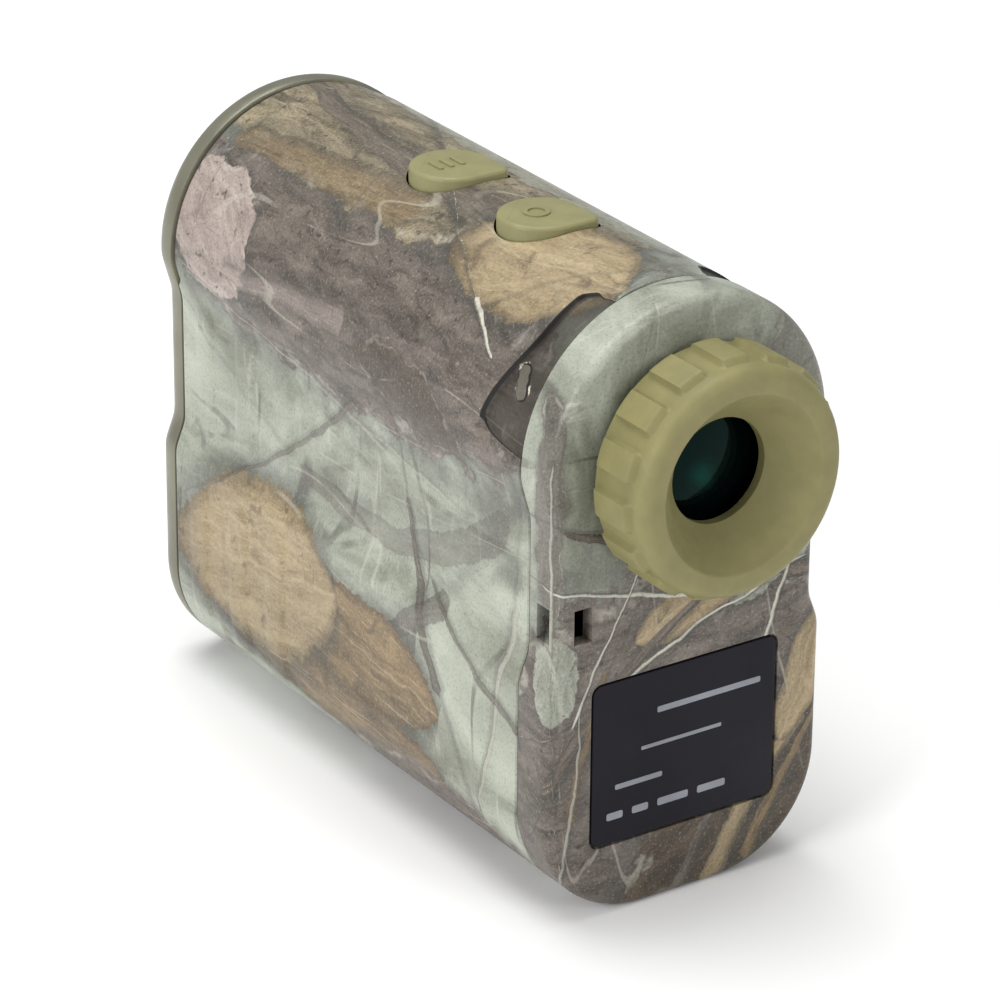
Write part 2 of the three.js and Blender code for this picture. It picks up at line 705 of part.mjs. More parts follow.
function objectiveCell() {
  const inner = objectiveRadius + clearance;
  const taper = 3;
  const profile = [
    [inner, objectiveCellFrontY], [objectiveRingRadius, objectiveCellFrontY],
    [objectiveRingRadius, objectiveCellFrontY - 8], [objectiveRingRadius - taper, objectiveCellRearY],
    [inner - taper, objectiveCellRearY], [inner, objectiveCellFrontY - 8], [inner, objectiveCellFrontY],
  ];
  return turned(profile, barrelAxisZ);
}

const displayFrameDepth = 3;
const receiverY = 2;
const receiverCanHeight = 4;
const prismRearY = -13;
const prismFrontY = objectiveCellRearY - clearance;
const prismHalfWidth = 10.5;
const prismLowZ = barrelAxisZ - 10;
const prismHighZ = barrelAxisZ + 9.2;
const prismWall = 1.4;

function prismHousing() {
  const outside = block([-prismHalfWidth, prismRearY, prismLowZ], [prismHalfWidth, prismFrontY, prismHighZ]);
  const inside = block(
    [-prismHalfWidth + prismWall, prismRearY - 1, prismLowZ + prismWall],
    [prismHalfWidth - prismWall, prismFrontY + 1, prismHighZ - prismWall],
  );
  const beamHole = new THREE.CylinderGeometry(3, 3, 6, smallSegments).rotateX(Math.PI / 2);
  return cut(outside, inside, beamHole.translate(0, receiverY, prismLowZ));
}

function prism(corners, halfWidth) {
  const shape = new THREE.Shape(corners.map(([y, z]) => new THREE.Vector2(y, z)));
  return facingOut(alongX(shape, -halfWidth, halfWidth));
}

const prismRoomLowZ = prismLowZ + prismWall + clearance;
const prismRoomHighZ = prismHighZ - prismWall - clearance;
const prismMiddleY = (prismRearY + prismFrontY) / 2;

function receiverSensor() {
  const [lowZ, highZ] = [prismLowZ - clearance - receiverCanHeight, prismLowZ - clearance];
  const can = new THREE.CylinderGeometry(2.7, 2.7, highZ - lowZ, smallSegments).rotateX(Math.PI / 2);
  const foot = new THREE.CylinderGeometry(3.3, 3.3, 0.8, smallSegments).rotateX(Math.PI / 2);
  return join(can.translate(0, receiverY, (lowZ + highZ) / 2), foot.translate(0, receiverY, lowZ + 0.4));
}

const displayRearY = prismRearY - clearance - displayFrameDepth;

function displayFrame() {
  const rearY = displayRearY;
  const outside = block([-9, rearY, barrelAxisZ - 9], [9, prismRearY - clearance, barrelAxisZ + 9]);
  const sight = block([-4.5, rearY - 1, barrelAxisZ - 4.5], [4.5, prismRearY, barrelAxisZ + 4.5]);
  const seat = block([-6, rearY - 1, barrelAxisZ - 6], [6, rearY + 1.4, barrelAxisZ + 6]);
  return cut(outside, sight, seat);
}

// ---------------------------------------------------------------- eyepiece
const recessFloorY = eyecupEndY + recessDepth;
const eyeBoreY = recessFloorY + diaphragm;
const eyeCellRearY = eyeBoreY + clearance;
const eyeCellFrontY = eyeCellRearY + eyeCellLength;
const eyeLensRadius = eyeCellRadius - eyeCellWall - clearance;
const eyeTubeInner = eyeCellRadius + runningClearance;
const eyeTubeRearY = rearFaceY + faceWall + 2 * clearance + 0.8;

function eyecup() {
  const padsRear = eyecupEndY + eyecupEdge + 1.1;
  const profile = [
    [eyeCellRadius + clearance, eyecupBaseY], [eyecupRadius, eyecupBaseY],
    [eyecupRadius, eyecupEndY + eyecupEdge],
    [eyecupRadius - eyecupEdge * 0.3, eyecupEndY + eyecupEdge * 0.3],
    [eyecupRadius - eyecupEdge, eyecupEndY], [mouthRadius, eyecupEndY],
    [sightRadius, recessFloorY], [sightRadius, eyeBoreY],
    [eyeCellRadius + clearance, eyeBoreY], [eyeCellRadius + clearance, eyecupBaseY],
  ];
  const body = turned(profile, barrelAxisZ);
  const pads = [];
  for (let i = 0; i < gripPadCount; i += 1) {
    const pad = block(
      [-gripPadWidth / 2, padsRear, eyecupRadius - 1.2],
      [gripPadWidth / 2, padsRear + gripPadLength, eyecupRadius + gripPadRise],
    );
    pads.push(pad.rotateY(2 * Math.PI * i / gripPadCount).translate(0, 0, barrelAxisZ));
  }
  return join(body, ...pads);
}

function eyeCell() {
  const inner = eyeCellRadius - eyeCellWall;
  const lip = 1.8;
  const profile = [
    [inner - lip, eyeCellRearY], [eyeCellRadius, eyeCellRearY], [eyeCellRadius, eyeCellFrontY],
    [inner, eyeCellFrontY], [inner, eyeCellRearY + 0.8], [inner - lip, eyeCellRearY + 0.8],
    [inner - lip, eyeCellRearY],
  ];
  const slotFrontY = guidePinY + guidePinRadius + clearance + focusTravel;
  const slotHalf = guidePinRadius + clearance;
  const slot = block(
    [-slotHalf, guidePinY - guidePinRadius - clearance, barrelAxisZ + inner - 1],
    [slotHalf, slotFrontY, barrelAxisZ + eyeCellRadius + 1],
  );
  return cut(turned(profile, barrelAxisZ), slot);
}

const guidePinY = eyeTubeRearY + eyeTubeLength - 2.6;

function eyepieceTube() {
  const outer = eyeTubeInner + eyeTubeWall;
  const flangeRadius = outer + eyeFlangeWidth;
  const profile = [
    [eyeTubeInner, eyeTubeRearY], [flangeRadius, eyeTubeRearY], [flangeRadius, eyeTubeRearY + 1.5],
    [outer, eyeTubeRearY + 1.5], [outer, eyeTubeRearY + eyeTubeLength],
    [eyeTubeInner, eyeTubeRearY + eyeTubeLength], [eyeTubeInner, eyeTubeRearY],
  ];
  const holeRadius = guidePinRadius + clearance;
  const pinHole = new THREE.CylinderGeometry(holeRadius, holeRadius, 10, smallSegments).rotateX(Math.PI / 2);
  return cut(turned(profile, barrelAxisZ), pinHole.translate(0, guidePinY, barrelAxisZ + outer));
}

function guidePin() {
  const lowZ = barrelAxisZ + eyeCellRadius - eyeCellWall + clearance;
  const highZ = barrelAxisZ + eyeTubeInner + eyeTubeWall;
  const pin = new THREE.CylinderGeometry(guidePinRadius, guidePinRadius, highZ - lowZ, smallSegments);
  return pin.rotateX(Math.PI / 2).translate(0, guidePinY, (lowZ + highZ) / 2);
}

// ---------------------------------------------------------------- boards
function mainBoard() {
  const lowZ = trayTopZ + 1.2;
  const halfWidth = gripHalfWidth - wall - 3;
  const board = block([-halfWidth, bayRearY + 3, lowZ], [halfWidth, bayFrontY + 4, lowZ + boardThickness]);
  const chips = [[-6, -10, 6, 1.2], [6, 4, 4, 1]].map(([x, y, half, height]) => (
    block([x - half, y - half / 2, lowZ + 0.5], [x + half, y + half / 2, lowZ + boardThickness + height])
  ));
  return join(board, ...chips);
}

function buttonBoard() {
  const reach = 5.5;
  return block(
    [buttonOffsetX - reach, powerButtonY - reach, buttonBoardTopZ - buttonBoardThickness],
    [buttonOffsetX + reach, modeButtonY + reach, buttonBoardTopZ],
  );
}

const diodeFrontY = lensRingFrontY - ringDepth - clearance - emitterTubeLength - clearance;

function laserDiode() {
  const profile = [
    [0, diodeFrontY], [2.3, diodeFrontY], [2.3, diodeFrontY - 2.6], [2.8, diodeFrontY - 2.6],
    [2.8, diodeFrontY - 3.8], [0, diodeFrontY - 3.8],
  ];
  return turned(profile, emitterAxisZ, 0, smallSegments);
}

function diodeBoard() {
  const frontY = diodeFrontY - 3.8 - clearance;
  return block([-8, frontY - boardThickness, emitterAxisZ - 6], [8, frontY, emitterAxisZ + 6]);
}

// ---------------------------------------------------------------- assembly
piece('main_shell', mainShell(), 'camoFilm');
piece('front_cover', frontCover(), 'pearlPlastic');
piece('rear_cover', rearCover(), 'camoFilm');
piece('label_plate', alongY(labelOutline(0), rearFaceY, rearFaceY + labelThickness), 'blackSatin');
const seamSeal = (seamY) => bodyRing(wall + clearance, sealInner, seamY - sealReach, seamY + sealReach);
piece('front_seal', seamSeal(frontSeamY), 'sealRubber');
piece('rear_seal', seamSeal(rearSeamY), 'sealRubber');

frontScrewPlaces.forEach((place, i) => {
  piece(`front_screw_${i + 1}`, screw(place, frontHeadY, 1, frontScrewLength), 'steel');
});
rearScrewPlaces.forEach((place, i) => {
  piece(`rear_screw_${i + 1}`, screw(place, rearHeadY, -1, rearScrewLength), 'steel');
});

const lensCrownY = frontFaceY - lensRecess;
const objectiveLensRadius = objectiveRadius - ringLip / 2;
const emitterLensOuter = emitterLensRadius - ringLip / 2;
piece('objective_ring', lensRing(objectiveRadius, objectiveRingRadius, barrelAxisZ), 'anodised');
piece('objective_lens', lens(objectiveLensRadius, lensCrownY, 1.6, 5.2, 0.8, barrelAxisZ), 'coatedGlass');
piece('objective_cell', objectiveCell(), 'blackPlastic');
piece('emitter_ring', lensRing(emitterLensRadius, emitterRingRadius, emitterAxisZ), 'anodised');
piece('emitter_lens', lens(emitterLensOuter, lensCrownY, 0.7, 3.4, 0.3, emitterAxisZ), 'coatedGlass');
const emitterTubeFrontY = lensRingFrontY - ringDepth - clearance;
const emitterInner = emitterLensRadius + clearance;
piece('emitter_tube', ring(
  emitterInner, emitterRingRadius, emitterTubeFrontY - emitterTubeLength, emitterTubeFrontY, emitterAxisZ,
), 'blackPlastic');
piece('laser_diode', laserDiode(), 'goldContact');
piece('diode_board', diodeBoard(), 'board');

piece('prism_housing', prismHousing(), 'blackPlastic');
piece('roof_prism', prism([
  [prismMiddleY + 0.4, prismRoomHighZ], [prismFrontY - 2, prismRoomHighZ],
  [prismFrontY - 2, prismRoomLowZ + 3], [prismMiddleY + 8, prismRoomLowZ],
], 7), 'clearGlass');
piece('half_prism', prism([
  [prismMiddleY - 0.4, prismRoomHighZ - 1], [prismRearY + 2, prismRoomHighZ - 4],
  [prismRearY + 2, prismRoomLowZ], [prismMiddleY + 6, prismRoomLowZ],
], 7), 'clearGlass');
piece('receiver_sensor', receiverSensor(), 'steel');
const receiverBoardTopZ = prismLowZ - 2 * clearance - receiverCanHeight;
piece('receiver_board', block(
  [-9, receiverY - 8, receiverBoardTopZ - boardThickness], [9, receiverY + 8, receiverBoardTopZ],
), 'board');
piece('display_frame', displayFrame(), 'blackPlastic');
piece('display_panel', block(
  [-5.7, displayRearY, barrelAxisZ - 5.7], [5.7, displayRearY + 1.1, barrelAxisZ + 5.7],
), 'clearGlass');

piece('eyepiece_tube', eyepieceTube(), 'blackPlastic');
const eyeSealRearY = rearFaceY + faceWall + clearance;
const eyeSealRadius = eyeTubeInner + eyeTubeWall + eyeFlangeWidth;
const eyeSealFrontY = eyeTubeRearY - clearance;
piece('eyepiece_seal', ring(eyeTubeInner, eyeSealRadius, eyeSealRearY, eyeSealFrontY, barrelAxisZ), 'sealRubber');
piece('guide_pin', guidePin(), 'steel');
piece('eye_cell', eyeCell(), 'blackPlastic');
const eyeLensY = eyeCellRearY + 0.8 + clearance;
piece('eye_lens', lens(eyeLensRadius, eyeLensY, 1.1, eyeLensThickness, 0.9, barrelAxisZ, -1), 'coatedGlass');
const lensSpacerY = eyeLensY + eyeLensThickness + clearance;
const fieldLensY = lensSpacerY + lensSpacerLength + clearance;
piece('lens_spacer', ring(
  eyeLensRadius - 1.2, eyeLensRadius, lensSpacerY, lensSpacerY + lensSpacerLength, barrelAxisZ,
), 'blackPlastic');
piece('field_lens', lens(eyeLensRadius, fieldLensY, 1, 3.6, 0.6, barrelAxisZ, -1), 'clearGlass');
piece('eye_retainer', ring(
  eyeLensRadius - 1.2, eyeLensRadius, fieldLensY + 3.6 + clearance, eyeCellFrontY, barrelAxisZ,
), 'anodised');
piece('eyecup', eyecup(), 'oliveRubber');

piece('mode_button', button(modeButtonY), 'oliveButton');
piece('power_button', button(powerButtonY), 'oliveButton');
piece('mode_switch', tactSwitch(modeButtonY), 'blackPlastic');
piece('power_switch', tactSwitch(powerButtonY), 'blackPlastic');
piece('button_board', buttonBoard(), 'board');
piece('main_board', mainBoard(), 'board');

piece('battery_tray', batteryTray(), 'blackPlastic');
piece('battery_cell_1', batteryCell(-1, true), 'cellWrap');
piece('battery_cell_2', batteryCell(1, false), 'cellWrap');
piece('battery_spring_1', batterySpring(-1, false), 'steel');
piece('battery_spring_2', batterySpring(1, true), 'steel');
piece('spring_plate_1', contactPlate(-1, false), 'goldContact');
piece('spring_plate_2', contactPlate(1, true), 'goldContact');
piece('contact_plate_1', contactPlate(-1, true), 'goldContact');
piece('contact_plate_2', contactPlate(1, false), 'goldContact');
piece('battery_door', batteryDoor(), 'camoFilm');
piece('door_seal', doorSeal(), 'sealRubber');
const hingePinReach = hingeHalfLength + clearance + hingeLugLength - 0.9;
piece('hinge_pin', rodAcross(hingePinRadius, -hingePinReach, hingePinReach, hingeY, hingeZ), 'steel');

export default rangefinder;
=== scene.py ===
import json
import math

import bmesh
import bpy
import numpy as np
from mathutils import Matrix, Vector


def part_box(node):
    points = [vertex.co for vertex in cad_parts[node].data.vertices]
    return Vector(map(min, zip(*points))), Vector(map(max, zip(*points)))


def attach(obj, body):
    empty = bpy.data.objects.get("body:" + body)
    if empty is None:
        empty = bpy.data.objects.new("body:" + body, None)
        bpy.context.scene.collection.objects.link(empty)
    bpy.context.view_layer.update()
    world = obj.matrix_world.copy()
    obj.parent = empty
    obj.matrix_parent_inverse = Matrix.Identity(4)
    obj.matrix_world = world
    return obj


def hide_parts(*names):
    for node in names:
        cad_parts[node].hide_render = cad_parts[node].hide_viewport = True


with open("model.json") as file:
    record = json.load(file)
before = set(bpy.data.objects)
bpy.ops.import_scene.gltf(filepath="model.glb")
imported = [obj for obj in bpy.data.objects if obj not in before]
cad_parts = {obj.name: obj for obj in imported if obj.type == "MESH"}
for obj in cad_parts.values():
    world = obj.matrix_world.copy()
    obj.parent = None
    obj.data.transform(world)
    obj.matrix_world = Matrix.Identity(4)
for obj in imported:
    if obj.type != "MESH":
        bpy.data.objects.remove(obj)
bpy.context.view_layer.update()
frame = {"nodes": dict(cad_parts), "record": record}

print("frame loaded")

shellLow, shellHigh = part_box("main_shell")
frontLow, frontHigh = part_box("front_cover")
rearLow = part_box("rear_cover")[0]
cupLow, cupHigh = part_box("eyecup")
cellLow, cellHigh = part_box("eye_cell")
barrelAxis = (cellLow.z + cellHigh.z) / 2
mm = 0.001

# the body's section, seen from behind; the barrel's radius is the half width
body = {
    "barrelRadius": shellHigh.x,
    "waistHalf": 19 * mm,
    "waistTop": 53.5 * mm,
    "waistBottom": 35.8 * mm,
    "gripTop": 32.1 * mm,
    "cornerRadius": 14.8 * mm,
    "flankDrop": 0.6 * mm,
    "jogRadius": 2.2 * mm,
    "wall": 1.8 * mm,
}
seamGap = 0.3 * mm
# how far a cutting tool reaches past a face, and the least difference that counts
past = 2 * mm
tiny = 1e-6

def deselectAll():
    if bpy.context.mode != "OBJECT":
        bpy.ops.object.mode_set(mode="OBJECT")
    bpy.ops.object.select_all(action="DESELECT")

def takeNew(name):
    piece = bpy.context.object
    piece.name = name
    piece.data.name = name
    bpy.ops.object.transform_apply(location=True, rotation=True, scale=True)
    return piece

def addCube(name, low, high):
    deselectAll()
    low, high = Vector(low), Vector(high)
    bpy.ops.mesh.primitive_cube_add(size=1, location=(low + high) / 2, scale=high - low)
    return takeNew(name)

def addRod(name, radius, low, high, axis="Y", sides=64):
    deselectAll()
    low, high = Vector(low), Vector(high)
    turn = {"X": (0, math.pi / 2, 0), "Y": (math.pi / 2, 0, 0), "Z": (0, 0, 0)}[axis]
    bpy.ops.mesh.primitive_cylinder_add(
        vertices=sides, radius=radius, depth=(high - low).length, location=(low + high) / 2, rotation=turn)
    return takeNew(name)

def workOn(piece):
    deselectAll()
    piece.select_set(True)
    bpy.context.view_layer.objects.active = piece

def openEdit(piece, mode="VERT"):
    workOn(piece)
    bpy.ops.object.mode_set(mode="EDIT")
    bpy.ops.mesh.select_mode(type=mode)
    bpy.ops.mesh.select_all(action="DESELECT")

# picks what passes the test, in edit mode; mode is VERT, EDGE or FACE
def pick(piece, mode, test):
    openEdit(piece, mode)
    mesh = bmesh.from_edit_mesh(piece.data)
    items = {"VERT": mesh.verts, "EDGE": mesh.edges, "FACE": mesh.faces}[mode]
    for item in items:
        item.select_set(bool(test(item)))
    mesh.select_flush_mode()
    bmesh.update_edit_mesh(piece.data)

def middle(item):
    return sum((v.co for v in item.verts), Vector()) / len(item.verts)

# whether an edge runs along an axis, numbered 0 to 2
def runsAlong(edge, axis):
    return abs(edge.verts[0].co[axis] - edge.verts[1].co[axis]) > 10 * tiny

def closeEdit():
    bpy.ops.object.mode_set(mode="OBJECT")

def bevelPicked(width, segments=4, clamp=False):
    bpy.ops.mesh.bevel(offset=width, segments=segments, profile=0.5, affect="EDGES", clamp_overlap=clamp)
    closeEdit()

def applyModifier(piece, kind, **settings):
    workOn(piece)
    modifier = piece.modifiers.new(kind.title(), kind)
    for key, value in settings.items():
        setattr(modifier, key, value)
    bpy.ops.object.modifier_apply(modifier=modifier.name)

def cutWith(piece, *tools):
    for tool in tools:
        applyModifier(piece, "BOOLEAN", object=tool, operation="DIFFERENCE", solver="EXACT")
        bpy.data.objects.remove(tool)

def joinWith(piece, *tools):
    for tool in tools:
        applyModifier(piece, "BOOLEAN", object=tool, operation="UNION", solver="EXACT")
        bpy.data.objects.remove(tool)

def softenEdges(piece, width, segments=3, angle=35):
    applyModifier(piece, "BEVEL", width=width, segments=segments, limit_method="ANGLE",
                  angle_limit=math.radians(angle), harden_normals=False)

def smooth(piece, angle=32):
    workOn(piece)
    bpy.ops.object.shade_smooth_by_angle(angle=math.radians(angle))

def place(piece, bodyName, slot, material, *nodes):
    piece.data.materials.clear()
    piece.data.materials.append(material)
    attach(piece, bodyName)
    if nodes:
        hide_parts(*nodes)

# turns a profile of (radius, y) about the Y direction at (x, z): a ring is drawn out and scaled step by step
def turnProfile(name, profile, x=0.0, z=0.0, sides=96):
    deselectAll()
    radius, y = profile[0]
    start = max(radius, tiny)
    bpy.ops.mesh.primitive_circle_add(
        vertices=sides, radius=start, location=(x, y, z), rotation=(math.pi / 2, 0, 0))
    piece = takeNew(name)
    openEdit(piece)
    bpy.ops.mesh.select_all(action="SELECT")
    for radius, nextY in profile[1:]:
        bpy.ops.mesh.extrude_region_move(TRANSFORM_OT_translate={"value": (0, nextY - y, 0)})
        grow = max(radius, tiny) / start
        bpy.ops.transform.resize(value=(grow, 1, grow), center_override=(x, nextY, z))
        start, y = max(radius, tiny), nextY
    bpy.ops.mesh.select_all(action="SELECT")
    bpy.ops.mesh.remove_doubles(threshold=4e-6)
    bpy.ops.mesh.normals_make_consistent(inside=False)
    closeEdit()
    return piece

def arcPoints(centreRadius, centreY, radius, fromAngle, toAngle, steps=6):
    points = []
    for i in range(steps + 1):
        angle = math.radians(fromAngle + (toAngle - fromAngle) * i / steps)
        points.append((centreRadius + radius * math.cos(angle), centreY + radius * math.sin(angle)))
    return points

def newMaterial(name, color, roughness, metallic=0.0, **sockets):
    material = bpy.data.materials.new(name)
    material.use_nodes = True
    shader = material.node_tree.nodes["Principled BSDF"]
    shader.inputs["Base Color"].default_value = (*color, 1)
    shader.inputs["Roughness"].default_value = roughness
    shader.inputs["Metallic"].default_value = metallic
    for key, value in sockets.items():
        shader.inputs[key.replace("_", " ")].default_value = value
    return material

def wire(tree, value, socket):
    if isinstance(value, bpy.types.NodeSocket):
        tree.links.new(value, socket)
    elif value is not None:
        socket.default_value = value

def calc(tree, operation, a, b=None, c=None):
    node = tree.nodes.new("ShaderNodeMath")
    node.operation = operation
    for value, socket in zip((a, b, c), node.inputs):
        wire(tree, value, socket)
    return node.outputs[0]

def times(tree, a, b):
    return calc(tree, "MULTIPLY", a, b)

def plus(tree, a, b):
    return calc(tree, "ADD", a, b)

def minus(tree, a, b):
    return calc(tree, "SUBTRACT", a, b)

def unsigned(tree, a):
    return calc(tree, "ABSOLUTE", a)

# how far a value is from a place, either way
def apart(tree, value, place):
    return unsigned(tree, minus(tree, value, place))

def ease(tree, value, low, high, fromValue=0.0, toValue=1.0):
    node = tree.nodes.new("ShaderNodeMapRange")
    node.interpolation_type = "SMOOTHSTEP"
    for name, entry in (("Value", value), ("From Min", low), ("From Max", high),
                        ("To Min", fromValue), ("To Max", toValue)):
        wire(tree, entry, node.inputs[name])
    return node.outputs["Result"]

def mixColor(tree, factor, a, b):
    node = tree.nodes.new("ShaderNodeMix")
    node.data_type = "RGBA"
    wire(tree, factor, node.inputs["Factor"])
    for value, socket in ((a, node.inputs[6]), (b, node.inputs[7])):
        wire(tree, (*value, 1) if isinstance(value, tuple) and len(value) == 3 else value, socket)
    return node.outputs[2]

def noise(tree, vector, scale, detail=4.0, roughness=0.55, distortion=0.0):
    node = tree.nodes.new("ShaderNodeTexNoise")
    wire(tree, vector, node.inputs["Vector"])
    node.inputs["Scale"].default_value = scale
    node.inputs["Detail"].default_value = detail
    node.inputs["Roughness"].default_value = roughness
    node.inputs["Distortion"].default_value = distortion
    return node.outputs["Fac"]

def stretch(tree, vector, scale, turn=0.0):
    node = tree.nodes.new("ShaderNodeMapping")
    wire(tree, vector, node.inputs["Vector"])
    node.inputs["Scale"].default_value = scale
    node.inputs["Rotation"].default_value = (0, 0, turn)
    return node.outputs["Vector"]

def objectPlace(tree):
    return tree.nodes.new("ShaderNodeTexCoord").outputs["Object"]

def readMap(tree, name):
    node = tree.nodes.new("ShaderNodeUVMap")
    node.uv_map = name
    return node.outputs[0]

def split(tree, vector):
    node = tree.nodes.new("ShaderNodeSeparateXYZ")
    wire(tree, vector, node.inputs[0])
    return node.outputs

def addBump(tree, height, strength, distance):
    node = tree.nodes.new("ShaderNodeBump")
    node.inputs["Strength"].default_value = strength
    node.inputs["Distance"].default_value = distance
    wire(tree, height, node.inputs["Height"])
    wire(tree, node.outputs["Normal"], tree.nodes["Principled BSDF"].inputs["Normal"])

# a group for one kind of layer of the camouflage film, whose flat places are in millimetres
def newGroup(name, numbers, colors):
    group = bpy.data.node_groups.new(name, "ShaderNodeTree")
    group.interface.new_socket("Place", in_out="INPUT", socket_type="NodeSocketVector")
    group.interface.new_socket("Below", in_out="INPUT", socket_type="NodeSocketColor")
    for entry in numbers:
        group.interface.new_socket(entry, in_out="INPUT", socket_type="NodeSocketFloat")
    for entry in colors:
        group.interface.new_socket(entry, in_out="INPUT", socket_type="NodeSocketColor")
    group.interface.new_socket("Color", in_out="OUTPUT", socket_type="NodeSocketColor")
    given = group.nodes.new("NodeGroupInput").outputs
    result = group.nodes.new("NodeGroupOutput").inputs["Color"]
    return group, given, result

patchNumbers = ("U", "V", "Turn", "HalfLength", "HalfWidth", "Bend", "Seed", "Strength")
patchColors = ("Dark", "Light")

# along and across a patch, both -1 to 1 inside it, and a vector for its own grain
def patchAxes(tree, given, wander):
    shifted = tree.nodes.new("ShaderNodeVectorMath")
    shifted.operation = "ADD"
    offset = tree.nodes.new("ShaderNodeCombineXYZ")
    wire(tree, given["Seed"], offset.inputs["Z"])
    wire(tree, given["Place"], shifted.inputs[0])
    wire(tree, offset.outputs[0], shifted.inputs[1])
    wobble = tree.nodes.new("ShaderNodeTexNoise")
    wire(tree, shifted.outputs[0], wobble.inputs["Vector"])
    wobble.inputs["Scale"].default_value = 0.13
    wobble.inputs["Detail"].default_value = 5
    parts = tree.nodes.new("ShaderNodeSeparateColor")
    wire(tree, wobble.outputs["Color"], parts.inputs[0])
    flat = split(tree, given["Place"])
    moved = []
    for i, origin in enumerate(("U", "V")):
        shift = times(tree, minus(tree, parts.outputs[i], 0.5), wander)
        moved.append(plus(tree, minus(tree, flat[i], given[origin]), shift))
    u, v = moved
    cosine = calc(tree, "COSINE", given["Turn"])
    sine = calc(tree, "SINE", given["Turn"])
    lengthwise = plus(tree, times(tree, u, cosine), times(tree, v, sine))
    sideways = minus(tree, times(tree, v, cosine), times(tree, u, sine))
    along = calc(tree, "DIVIDE", lengthwise, given["HalfLength"])
    straight = calc(tree, "DIVIDE", sideways, given["HalfWidth"])
    across = plus(tree, straight, times(tree, given["Bend"], calc(tree, "POWER", along, 2.0)))
    local = tree.nodes.new("ShaderNodeCombineXYZ")
    wire(tree, lengthwise, local.inputs[0])
    wire(tree, sideways, local.inputs[1])
    wire(tree, given["Seed"], local.inputs[2])
    return along, across, local.outputs[0]

def makeLeafGroup():
    tree, given, result = newGroup("leafLayer", patchNumbers, patchColors)
    along, across, local = patchAxes(tree, given, 3.5)
    squared = calc(tree, "MINIMUM", times(tree, along, along), 1.0)
    width = calc(tree, "POWER", minus(tree, 1.0, squared), 0.75)
    width = times(tree, width, calc(tree, "MULTIPLY_ADD", along, -0.25, 1.0))
    side = unsigned(tree, across)
    rag = times(tree, minus(tree, noise(tree, local, 0.9, 3), 0.5), 0.3)
    outside = plus(tree, minus(tree, side, width), rag)
    beyond = ease(tree, unsigned(tree, along), 0.99, 1.0)
    outside = plus(tree, outside, beyond)
    mask = times(tree, ease(tree, outside, 0.03, -0.03), given["Strength"])
    shadow = ease(tree, minus(tree, outside, 0.05), 0.45, -0.1, 0.0, 0.6)
    grain = noise(tree, stretch(tree, local, (0.25, 1.0, 1)), 0.55, 6, 0.65, 0.6)
    fine = noise(tree, stretch(tree, local, (0.5, 1.6, 1)), 2.2, 4, 0.6)
    tone = ease(tree, calc(tree, "MULTIPLY_ADD", fine, 0.35, times(tree, grain, 0.8)), 0.32, 0.78)
    inner = mixColor(tree, tone, given["Dark"], given["Light"])
    rib = ease(tree, side, 0.04, 0.01, 0.0, 0.3)
    fibres = noise(tree, stretch(tree, local, (0.1, 1.3, 1)), 1.6, 5, 0.6)
    fibres = ease(tree, fibres, 0.56, 0.72, 0.0, 0.4)
    inner = mixColor(tree, calc(tree, "MAXIMUM", rib, fibres), inner, (0.52, 0.44, 0.28))
    stains = ease(tree, noise(tree, local, 0.3, 5, 0.6, 0.6), 0.54, 0.7, 0.0, 0.6)
    inner = mixColor(tree, stains, inner, (0.085, 0.06, 0.035))
    rim = ease(tree, outside, -0.28, 0.02, 0.0, 0.6)
    inner = mixColor(tree, rim, inner, (0.06, 0.045, 0.03))
    tip = ease(tree, along, 0.45, 1.0, 0.0, 0.6)
    inner = mixColor(tree, tip, inner, (0.07, 0.05, 0.03))
    half = ease(tree, across, -0.1, 0.1, 0.0, 0.15)
    inner = mixColor(tree, half, inner, (0.05, 0.04, 0.03))
    shaded = mixColor(tree, shadow, given["Below"], (0.045, 0.045, 0.04))
    wire(tree, mixColor(tree, mask, shaded, inner), result)
    return tree

def makeBranchGroup():
    tree, given, result = newGroup("branchLayer", patchNumbers, patchColors)
    along, across, local = patchAxes(tree, given, 2.6)
    taper = calc(tree, "MULTIPLY_ADD", along, -0.3, 0.8)
    across = calc(tree, "DIVIDE", across, taper)
    side = unsigned(tree, across)
    rag = times(tree, minus(tree, noise(tree, local, 1.2, 4), 0.5), 0.5)
    ends = ease(tree, unsigned(tree, along), 0.9, 1.0)
    outside = plus(tree, plus(tree, side, rag), ends)
    mask = times(tree, ease(tree, outside, 1.05, 0.93), given["Strength"])
    shadow = ease(tree, plus(tree, unsigned(tree, plus(tree, across, 0.5)), ends), 2.1, 0.9, 0.0, 0.5)
    shadow = times(tree, shadow, given["Strength"])
    bark = noise(tree, stretch(tree, local, (0.12, 1.1, 1)), 1.5, 7, 0.7, 0.8)
    cracks = noise(tree, stretch(tree, local, (0.3, 2.2, 1)), 1.1, 5, 0.7)
    tone = ease(tree, calc(tree, "MULTIPLY_ADD", cracks, 0.5, times(tree, bark, 0.7)), 0.38, 0.82)
    inner = mixColor(tree, tone, given["Dark"], given["Light"])
    curve = ease(tree, apart(tree, across, 0.2), 0.3, 1.1, 0.0, 0.75)
    inner = mixColor(tree, curve, inner, (0.05, 0.045, 0.035))
    shaded = mixColor(tree, shadow, given["Below"], (0.05, 0.05, 0.045))
    wire(tree, mixColor(tree, mask, shaded, inner), result)
    return tree

